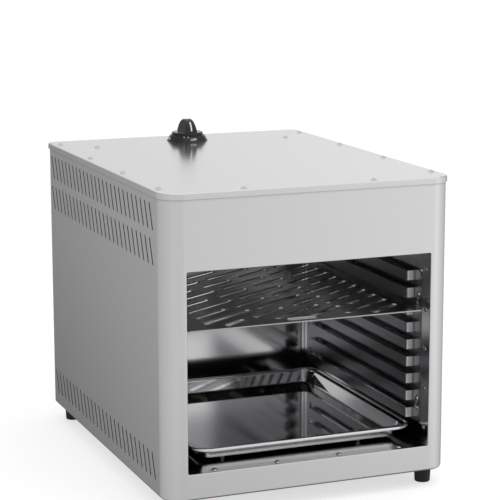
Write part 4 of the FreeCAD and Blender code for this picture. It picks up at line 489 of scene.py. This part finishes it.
def lip_tree(material):
    """Tree that lays a round lip along the rims of a plate's holes."""
    tree, given = new_tree("slot_lips", {
        "Top": ("NodeSocketFloat", 0.0),
        "Low corner": ("NodeSocketVector", None),
        "High corner": ("NodeSocketVector", None),
        "Margin": ("NodeSocketFloat", 4.0 * MM),
        "Width": ("NodeSocketFloat", 2.0 * MM),
        "Height": ("NodeSocketFloat", 1.0 * MM),
        "Sides": ("NodeSocketInt", LIP_SIDES),
    })
    merged = add_node(tree, "GeometryNodeMergeByDistance", {}, {"Geometry": given["Geometry"]},
                      {"Distance": WELD_DISTANCE})
    angle = add_node(tree, "GeometryNodeInputMeshEdgeAngle")
    sharp = add_node(tree, "FunctionNodeCompare", {"data_type": "FLOAT", "operation": "GREATER_THAN"},
                     {"A": angle.outputs["Unsigned Angle"]}, {"B": RIM_ANGLE})
    place = add_node(tree, "GeometryNodeInputPosition")
    axes = add_node(tree, "ShaderNodeSeparateXYZ", {}, {"Vector": place.outputs[0]})
    at_top = add_node(tree, "FunctionNodeCompare", {"data_type": "FLOAT", "operation": "EQUAL"},
                      {"A": axes.outputs["Z"], "B": given["Top"]}, {"Epsilon": LEVEL_TOLERANCE})
    conditions = [sharp.outputs["Result"], at_top.outputs["Result"]]
    sides = (("Low corner", "GREATER_THAN", 1.0), ("High corner", "LESS_THAN", -1.0))
    for corner, operation, sign in sides:
        limit = add_node(tree, "ShaderNodeSeparateXYZ", {}, {"Vector": given[corner]})
        for axis in ("X", "Y"):
            edge = add_node(tree, "ShaderNodeMath", {"operation": "MULTIPLY_ADD"},
                            {0: given["Margin"], 2: limit.outputs[axis]})
            edge.inputs[1].default_value = sign
            inside = add_node(tree, "FunctionNodeCompare", {"data_type": "FLOAT", "operation": operation},
                              {"A": axes.outputs[axis], "B": edge.outputs[0]})
            conditions.append(inside.outputs["Result"])
    chosen = conditions[0]
    for condition in conditions[1:]:
        both = add_node(tree, "FunctionNodeBooleanMath", {"operation": "AND"}, {0: chosen, 1: condition})
        chosen = both.outputs[0]
    rims = add_node(tree, "GeometryNodeMeshToCurve", {}, {"Mesh": merged.outputs[0], "Selection": chosen})
    ring = add_node(tree, "GeometryNodeCurvePrimitiveCircle", {"mode": "RADIUS"},
                    {"Resolution": given["Sides"]}, {"Radius": 1.0})
    half_width = add_node(tree, "ShaderNodeMath", {"operation": "MULTIPLY"}, {0: given["Width"]})
    half_width.inputs[1].default_value = 0.5
    size = add_node(tree, "ShaderNodeCombineXYZ", {}, {"X": half_width.outputs[0], "Y": given["Height"]},
                    {"Z": 1.0})
    profile = add_node(tree, "GeometryNodeTransform", {},
                       {"Geometry": ring.outputs[0], "Scale": size.outputs[0]})
    level = add_node(tree, "GeometryNodeSetCurveNormal", {"mode": "Z_UP"}, {"Curve": rims.outputs[0]})
    swept = add_node(tree, "GeometryNodeCurveToMesh", {},
                     {"Curve": level.outputs[0], "Profile Curve": profile.outputs[0]})
    smooth = add_node(tree, "GeometryNodeSetShadeSmooth", {}, {"Geometry": swept.outputs[0]})
    close_tree(tree, smooth.outputs[0], material)
    return tree


class OVEN_OT_grate(bpy.types.Operator):
    """Finish the grate and press a lip round each of its slots"""
    bl_idname = "oven.grate"
    bl_label = "Grate"

    def execute(self, context):
        settings = context.scene.oven_grate
        dress(["grate"], pressed_stainless())
        low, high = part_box("grate")
        # Painted highlight: the slot lips are near white against the darker plate
        lips = grown("grate_slot_lips", NODES["grate"].data.copy(), lip_tree(highlight_painted_lips()), {
            "Top": high.z, "Low corner": low, "High corner": high, "Margin": settings.rim_margin,
            "Width": settings.lip_width, "Height": settings.lip_height, "Sides": LIP_SIDES,
        })
        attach(lips, "grate")
        return {"FINISHED"}


class OVEN_OT_tray(bpy.types.Operator):
    """Finish the drip tray"""
    bl_idname = "oven.tray"
    bl_label = "Drip tray"

    def execute(self, context):
        dress(["drip_tray"], polished_stainless())
        return {"FINISHED"}


# Ring's narrowing from foot to top as a share of its foot radius, 4.4 mm on 28.2 mm
RING_TAPER = 4.4 / 28.2
# Height of a capital as a share of the font's size
CAPITAL_SHARE = 0.7
TICK_HALF_WIDTH = 0.45 * MM
# Ticks' lower and upper end, 0 at the ring's foot and 1 at its top
TICK_CLIMB = (0.80, 0.98)
# Knob disc's top over the ring's foot, and half the length of the grip on it
DISC_TOP = 12.0 * MM
GRIP_HALF_LENGTH = 18.0 * MM
# Pointer's start and end on the grip's arc, from its crown towards the front
POINTER_START = math.radians(38.0)
POINTER_END = math.radians(82.0)
POINTER_STEPS = 14


def dial_axis():
    """Centre of the dial ring at its foot, its foot radius, top radius and height."""
    low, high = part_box("knob_bezel")
    centre = Vector(((low.x + high.x) / 2.0, (low.y + high.y) / 2.0, low.z))
    foot_radius = (high.x - low.x) / 2.0
    height = high.z - low.z
    return centre, foot_radius, foot_radius * (1.0 - RING_TAPER), height


def on_dial(angle, climb, lift):
    """Point on the ring's mantle. angle runs from the front towards the left, and climb is 0 at the foot
    and 1 at the top."""
    centre, foot_radius, top_radius, height = dial_axis()
    outward = Vector((height, foot_radius - top_radius)).normalized()
    radius = foot_radius + (top_radius - foot_radius) * climb + lift * outward.x
    rise = height * climb + lift * outward.y
    return centre + Vector((-math.sin(angle) * radius, -math.cos(angle) * radius, rise))


def dial_word(name, word, angle, settings, material):
    """Word printed round the ring's mantle, its middle at an angle."""
    curve = bpy.data.curves.new(name, "FONT")
    curve.body = word
    curve.align_x = "CENTER"
    curve.align_y = "CENTER"
    curve.size = settings.letter_height / CAPITAL_SHARE
    # Any depth does: only the sign of a point's Z is read below
    curve.extrude = 0.5
    curve.resolution_u = 3
    carrier = link_object(name + "_letters", curve)
    evaluated = carrier.evaluated_get(bpy.context.evaluated_depsgraph_get())
    mesh = bpy.data.meshes.new_from_object(evaluated)
    bpy.data.objects.remove(carrier)
    foot_radius, top_radius, height = dial_axis()[1:]
    slant = math.hypot(height, foot_radius - top_radius)
    middle_radius = (foot_radius + top_radius) / 2.0
    for vertex in mesh.vertices:
        turn = angle - vertex.co.x / middle_radius
        lift = settings.print_thickness if vertex.co.z > 0.0 else -settings.print_thickness
        vertex.co = on_dial(turn, settings.letter_place + vertex.co.y / slant, lift)
    mesh.name = name
    mesh.materials.clear()
    mesh.materials.append(material)
    return link_object(name, mesh)


def tick_tree(material):
    """Tree that turns one tick into a row round an axis."""
    tree, given = new_tree("dial_ticks", {
        "Count": ("NodeSocketInt", 2),
        "First": ("NodeSocketFloat", 0.0),
        "Step": ("NodeSocketFloat", 0.2),
        "Axis": ("NodeSocketVector", None),
    })
    places = add_node(tree, "GeometryNodeMeshLine", {"mode": "OFFSET"}, {"Count": given["Count"]})
    places.inputs["Offset"].default_value = (0.0, 0.0, 0.0)
    points = add_node(tree, "GeometryNodeMeshToPoints", {}, {"Mesh": places.outputs[0]})
    index = add_node(tree, "GeometryNodeInputIndex")
    angle = add_node(tree, "ShaderNodeMath", {"operation": "MULTIPLY_ADD"},
                     {0: index.outputs[0], 1: given["Step"], 2: given["First"]})
    back_turn = add_node(tree, "ShaderNodeMath", {"operation": "MULTIPLY"}, {0: angle.outputs[0]})
    back_turn.inputs[1].default_value = -1.0
    turn = add_node(tree, "ShaderNodeCombineXYZ", {}, {"Z": back_turn.outputs[0]})
    row = add_node(tree, "GeometryNodeInstanceOnPoints", {},
                   {"Points": points.outputs[0], "Instance": given["Geometry"], "Rotation": turn.outputs[0]})
    moved = add_node(tree, "GeometryNodeTransform", {},
                     {"Geometry": row.outputs[0], "Translation": given["Axis"]})
    close_tree(tree, moved.outputs[0], material)
    return tree


class OVEN_OT_dial(bpy.types.Operator):
    """Finish the knob and its ring, and print the ring's words, ticks and the pointer"""
    bl_idname = "oven.dial"
    bl_label = "Knob and dial ring"

    def execute(self, context):
        settings = context.scene.oven_dial
        ink = white_print()
        dress(["knob"], black_phenolic())
        dress(["knob_bezel"], black_phenolic_ring())
        dress(["valve_stem"], machined_brass())
        for name, word, angle in (("dial_off", "OFF", 0.0), ("dial_on", "ON", math.radians(90.0))):
            letters = dial_word(name, word, angle, settings, ink)
            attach(letters, "housing")
        self.ticks(settings, ink)
        self.pointer(settings, ink)
        return {"FINISHED"}

    def ticks(self, settings, ink):
        """Short marks near the ring's upper edge."""
        centre = dial_axis()[0]
        half = TICK_HALF_WIDTH / dial_axis()[1]
        low, high = TICK_CLIMB
        corners = []
        for lift in (-settings.print_thickness, settings.print_thickness):
            for angle, climb in ((half, low), (-half, low), (-half, high), (half, high)):
                corners.append(on_dial(angle, climb, lift) - centre)
        faces = [(0, 3, 2, 1), (4, 5, 6, 7), (0, 1, 5, 4), (1, 2, 6, 5), (2, 3, 7, 6), (3, 0, 4, 7)]
        tick = bpy.data.meshes.new("dial_tick")
        tick.from_pydata([tuple(corner) for corner in corners], [], faces)
        marks = grown("dial_ticks", tick, tick_tree(ink), {
            "Count": settings.ticks, "First": settings.tick_first, "Step": settings.tick_step, "Axis": centre,
        })
        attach(marks, "housing")

    def pointer(self, settings, ink):
        """White line over the front half of the grip."""
        low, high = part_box("knob")
        centre_x = (low.x + high.x) / 2.0
        centre_y = (low.y + high.y) / 2.0
        rise = high.z - (dial_axis()[0].z + DISC_TOP)
        radius = (GRIP_HALF_LENGTH ** 2 + rise ** 2) / (2.0 * rise)
        middle_z = high.z - radius
        half = settings.pointer_width / 2.0
        points = []
        for i in range(POINTER_STEPS + 1):
            angle = POINTER_START + (POINTER_END - POINTER_START) * i / POINTER_STEPS
            for reach in (radius - settings.print_thickness, radius + settings.print_thickness):
                for side in (-half, half):
                    y = centre_y - math.sin(angle) * reach
                    z = middle_z + math.cos(angle) * reach
                    points.append((centre_x + side, y, z))
        faces = [(0, 1, 3, 2), tuple(4 * POINTER_STEPS + corner for corner in (0, 2, 3, 1))]
        for i in range(POINTER_STEPS):
            a = 4 * i
            b = a + 4
            faces += [(a, b, b + 1, a + 1), (a + 2, a + 3, b + 3, b + 2)]
            faces += [(a, a + 2, b + 2, b), (a + 1, b + 1, b + 3, a + 3)]
        line = placed_mesh("knob_pointer", points, faces, ink)
        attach(line, "knob_turn")


# How far the gas holes lie under the plaques, and the plaque's rim that has none
PORE_DROP = 0.05 * MM
PORE_MARGIN = 6.0 * MM
PORE_SIDES = 8


def pore_tree(material):
    """Tree that covers each plaque with a grid of dark discs that stand for gas holes, given points at the
    plaques' middles.
    """
    tree, given = new_tree("burner_pores", {
        "Size X": ("NodeSocketFloat", 0.1),
        "Size Y": ("NodeSocketFloat", 0.1),
        "Count X": ("NodeSocketInt", 10),
        "Count Y": ("NodeSocketInt", 10),
        "Radius": ("NodeSocketFloat", 0.001),
    })
    grid = add_node(tree, "GeometryNodeMeshGrid", {}, {
        "Size X": given["Size X"], "Size Y": given["Size Y"],
        "Vertices X": given["Count X"], "Vertices Y": given["Count Y"],
    })
    holes = add_node(tree, "GeometryNodeMeshToPoints", {}, {"Mesh": grid.outputs["Mesh"]})
    disc = add_node(tree, "GeometryNodeMeshCircle", {"fill_type": "NGON"}, {"Radius": given["Radius"]},
                    {"Vertices": PORE_SIDES})
    face_down = add_node(tree, "GeometryNodeTransform", {}, {"Geometry": disc.outputs[0]})
    face_down.inputs["Rotation"].default_value = Euler((math.pi, 0.0, 0.0))
    field = add_node(tree, "GeometryNodeInstanceOnPoints", {},
                     {"Points": holes.outputs[0], "Instance": face_down.outputs[0]})
    middles = add_node(tree, "GeometryNodeMeshToPoints", {}, {"Mesh": given["Geometry"]})
    burners = add_node(tree, "GeometryNodeInstanceOnPoints", {},
                       {"Points": middles.outputs[0], "Instance": field.outputs[0]})
    close_tree(tree, burners.outputs[0], material)
    return tree


class OVEN_OT_burner(bpy.types.Operator):
    """Finish the burner, its plaques and their gas holes"""
    bl_idname = "oven.burner"
    bl_label = "Burner"

    def execute(self, context):
        settings = context.scene.oven_burner
        plaques = nodes_named("ceramic_plaque")
        dress(plaques, cordierite_plaque())
        dress(["burner_gasket"], ceramic_fibre())
        dress(["burner_housing"], rolled_stainless())
        dress(["plaque_retainer", "mixer_tube"], galvanised_sheet())
        middles = []
        for name in plaques:
            low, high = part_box(name)
            middles.append(((low.x + high.x) / 2.0, (low.y + high.y) / 2.0, low.z - PORE_DROP))
        source = bpy.data.meshes.new("plaque_middles")
        source.from_pydata(middles, [], [])
        width = high.x - low.x - PORE_MARGIN
        depth = high.y - low.y - PORE_MARGIN
        # Painted shade: dark discs under the plaques stand for the shaded gas holes
        pores = grown("burner_pores", source, pore_tree(pore_shade()), {
            "Size X": width, "Size Y": depth,
            "Count X": int(width / settings.pore_pitch), "Count Y": int(depth / settings.pore_pitch),
            "Radius": settings.pore_radius,
        })
        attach(pores, "housing")
        return {"FINISHED"}


class OVEN_OT_gas_line(bpy.types.Operator):
    """Finish the valve, the gas line and the ignition"""
    bl_idname = "oven.gas_line"
    bl_label = "Gas line and ignition"

    def execute(self, context):
        dress(["injector", "injector_holder", "valve_body", "inlet_connector", "inlet_nut"], machined_brass())
        dress(["gas_supply_pipe"], drawn_aluminium())
        dress(["thermocouple"], annealed_copper())
        dress(["piezo_igniter"], moulded_nylon())
        dress(["ignition_lead"], silicone_sleeve())
        dress(["ignition_electrode"], glazed_alumina())
        return {"FINISHED"}


class OVEN_OT_feet(bpy.types.Operator):
    """Finish the four feet"""
    bl_idname = "oven.feet"
    bl_label = "Feet"

    def execute(self, context):
        dress(nodes_named("foot_front") + nodes_named("foot_rear"), foot_rubber())
        return {"FINISHED"}


def pale_where_seen(tree, strength):
    """Strength of the white that the camera, and what mirrors or lets through, sees."""
    path = add_node(tree, "ShaderNodeLightPath")
    seen = path.outputs["Is Camera Ray"]
    for name in ("Is Glossy Ray", "Is Transmission Ray"):
        both = add_node(tree, "ShaderNodeMath", {"operation": "MAXIMUM"}, {0: seen, 1: path.outputs[name]})
        seen = both.outputs[0]
    lift = add_node(tree, "ShaderNodeMath", {"operation": "MULTIPLY"}, {0: seen})
    lift.inputs[1].default_value = strength
    return lift.outputs[0]


def card_material():
    """Glowing studio card, its strength read from each point's tone."""
    material, tree, output = new_material("studio_card")
    tone = add_node(tree, "ShaderNodeAttribute", {"attribute_name": "tone"})
    glow = add_node(tree, "ShaderNodeEmission", {}, {"Strength": tone.outputs["Fac"]})
    tree.links.new(glow.outputs[0], output.inputs["Surface"])
    return material


def card(name, path, rows, material):
    """Upright studio card that only reflections show. path holds x, y and tone, and rows hold height and
    share of the tone."""
    points = [(x, y, height) for height, share in rows for x, y, tone in path]
    tones = [tone * share for height, share in rows for x, y, tone in path]
    count = len(path)
    faces = []
    for row in range(len(rows) - 1):
        for i in range(count - 1):
            a = row * count + i
            faces.append((a, a + 1, a + count + 1, a + count))
    glossy_only(placed_mesh(name, points, faces, material), tones)


def glossy_only(thing, tones):
    """Give a card its tones and keep it out of all but the reflections."""
    thing.data.attributes.new("tone", "FLOAT", "POINT").data.foreach_set("value", tones)
    thing.visible_camera = False
    thing.visible_diffuse = False
    thing.visible_shadow = False
    thing.visible_transmission = False


def level_square(name, reach, height, material):
    """Level square round the origin, reach being half its side."""
    signs = ((-1.0, -1.0), (1.0, -1.0), (1.0, 1.0), (-1.0, 1.0))
    corners = [(x * reach, y * reach, height) for x, y in signs]
    return placed_mesh(name, corners, [(0, 1, 2, 3)], material)


# Studio softboxes: bright in front, falling off to the sides, the rear and the floor. Each point's place
# in metres and its tone, and each row's height and share of the tone
FRONT_CARD = ((0.95, -1.0, 1.0), (-0.10, -1.0, 0.7))
RIGHT_CARD = ((1.20, 1.0, 0.3), (0.95, -1.0, 1.0))
LEFT_CARD = ((-0.10, -1.0, 0.7), (-0.60, -0.66, 0.7), (-0.60, 0.5, 0.5), (-0.60, 3.0, 0.1))
UPRIGHT_ROWS = ((-1.0, 0.5), (0.0, 1.0), (1.3, 1.0))
REAR_CARD = ((2.5, 2.0, 1.0), (-0.6, 2.0, 0.7))
REAR_ROWS = ((0.5, 1.0), (1.6, 1.0))
BELOW_HEIGHT = -1.0
BELOW_REACH = 3.0
BELOW_TONE = 0.15
FLOOR_REACH = 30.0
FLOOR_GLOW = 0.62
SENSOR_WIDTH = 36.0
CLIP_END = 50.0
KEY_SIDE = 1.6
KEY_PLACE = (0.5, -0.9, 1.9)
KEY_AIM = (0.0, 0.0, 0.2)
WHITE = (1.0, 1.0, 1.0, 1.0)


class OVEN_OT_stage(bpy.types.Operator):
    """Set the camera, the lights, the floor and the surroundings"""
    bl_idname = "oven.stage"
    bl_label = "Stage"

    def execute(self, context):
        settings = context.scene.oven_stage
        context.scene.view_settings.view_transform = "Standard"
        self.camera(context, settings)
        self.floor(settings)
        self.cards()
        self.world(context, settings)
        self.lights(context, settings)
        return {"FINISHED"}

    def camera(self, context, settings):
        """The photograph's view."""
        front_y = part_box("outer_wrap")[0].y
        aim = Vector(settings.aim) + Vector((0.0, front_y, 0.0))
        level = math.cos(settings.elevation)
        away = Vector((math.sin(settings.azimuth) * level, -math.cos(settings.azimuth) * level,
                       math.sin(settings.elevation)))
        data = bpy.data.cameras.new("camera")
        data.lens = settings.focal_length
        data.sensor_width = SENSOR_WIDTH
        data.clip_end = CLIP_END
        camera = link_object("camera", data)
        camera.location = aim + away * settings.distance
        turn = (-away).to_track_quat("-Z", "Y").to_matrix() @ Matrix.Rotation(settings.roll, 3, "Z")
        camera.rotation_euler = turn.to_euler()
        context.scene.camera = camera

    def floor(self, settings):
        """Pale floor that keeps the oven's shadow."""
        material, tree, output = new_material("studio_floor")
        paint = add_node(tree, "ShaderNodeBsdfDiffuse", {}, {}, {"Color": (*settings.floor_colour, 1.0)})
        glow = add_node(tree, "ShaderNodeEmission", {}, {"Strength": pale_where_seen(tree, FLOOR_GLOW)})
        total = add_node(tree, "ShaderNodeAddShader", {}, {0: paint.outputs[0], 1: glow.outputs[0]})
        tree.links.new(total.outputs[0], output.inputs["Surface"])
        floor = level_square("floor", FLOOR_REACH, 0.0, material)
        floor.visible_glossy = False

    def cards(self):
        """Softboxes that the steel reflects."""
        material = card_material()
        card("studio_card_front", FRONT_CARD, UPRIGHT_ROWS, material)
        card("studio_card_right", RIGHT_CARD, UPRIGHT_ROWS, material)
        card("studio_card_left", LEFT_CARD, UPRIGHT_ROWS, material)
        card("studio_card_rear", REAR_CARD, REAR_ROWS, material)
        below = level_square("studio_card_below", BELOW_REACH, BELOW_HEIGHT, material)
        glossy_only(below, [BELOW_TONE] * 4)

    def world(self, context, settings):
        """Light tent: white to the camera and to mirrors, plain soft light to the rest."""
        world = bpy.data.worlds.new("light_tent")
        context.scene.world = world
        world.use_nodes = True
        tree = world.node_tree
        tree.nodes.clear()
        white = add_node(tree, "ShaderNodeBackground", {}, {}, {"Color": WHITE, "Strength": 1.0})
        soft = add_node(tree, "ShaderNodeBackground", {}, {},
                        {"Color": WHITE, "Strength": settings.world_strength})
        mixed = add_node(tree, "ShaderNodeMixShader", {},
                         {0: pale_where_seen(tree, 1.0), 1: soft.outputs[0], 2: white.outputs[0]})
        add_node(tree, "ShaderNodeOutputWorld", {}, {"Surface": mixed.outputs[0]})

    def lights(self, context, settings):
        """One large soft light from above."""
        data = bpy.data.lights.new("key", "AREA")
        data.shape = "RECTANGLE"
        data.size = KEY_SIDE
        data.size_y = KEY_SIDE
        data.energy = settings.key_power
        key = link_object("key", data)
        key.visible_glossy = False
        key.location = KEY_PLACE
        key.rotation_euler = (Vector(KEY_AIM) - key.location).to_track_quat("-Z", "Y").to_euler()


class OVEN_PT_panel(bpy.types.Panel):
    """Sidebar list of the oven's parts"""
    bl_idname = "OVEN_PT_panel"
    bl_label = "Steak Oven"
    bl_space_type = "VIEW_3D"
    bl_region_type = "UI"
    bl_category = "Steak Oven"

    def draw(self, context):
        for operator in OPERATORS:
            self.layout.operator(operator.bl_idname)
        for group in SETTINGS:
            box = self.layout.box()
            values = getattr(context.scene, group)
            for name in values.bl_rna.properties.keys():
                if name not in ("rna_type", "name"):
                    box.prop(values, name)


SETTINGS = {
    "oven_grate": OvenGrateSettings,
    "oven_dial": OvenDialSettings,
    "oven_burner": OvenBurnerSettings,
    "oven_stage": OvenStageSettings,
}
OPERATORS = (
    OVEN_OT_body_sheets, OVEN_OT_racks, OVEN_OT_fasteners, OVEN_OT_grate, OVEN_OT_tray,
    OVEN_OT_dial, OVEN_OT_burner, OVEN_OT_gas_line, OVEN_OT_feet, OVEN_OT_stage,
)


def register():
    for cls in (*SETTINGS.values(), *OPERATORS, OVEN_PT_panel):
        bpy.utils.register_class(cls)
    for name, group in SETTINGS.items():
        setattr(bpy.types.Scene, name, PointerProperty(type=group))


def unregister():
    for name in SETTINGS:
        delattr(bpy.types.Scene, name)
    for cls in reversed((*SETTINGS.values(), *OPERATORS, OVEN_PT_panel)):
        bpy.utils.unregister_class(cls)


def main():
    register()
    for operator in OPERATORS:
        module, name = operator.bl_idname.split(".")
        getattr(getattr(bpy.ops, module), name)()


if __name__ == "__main__":
    main()
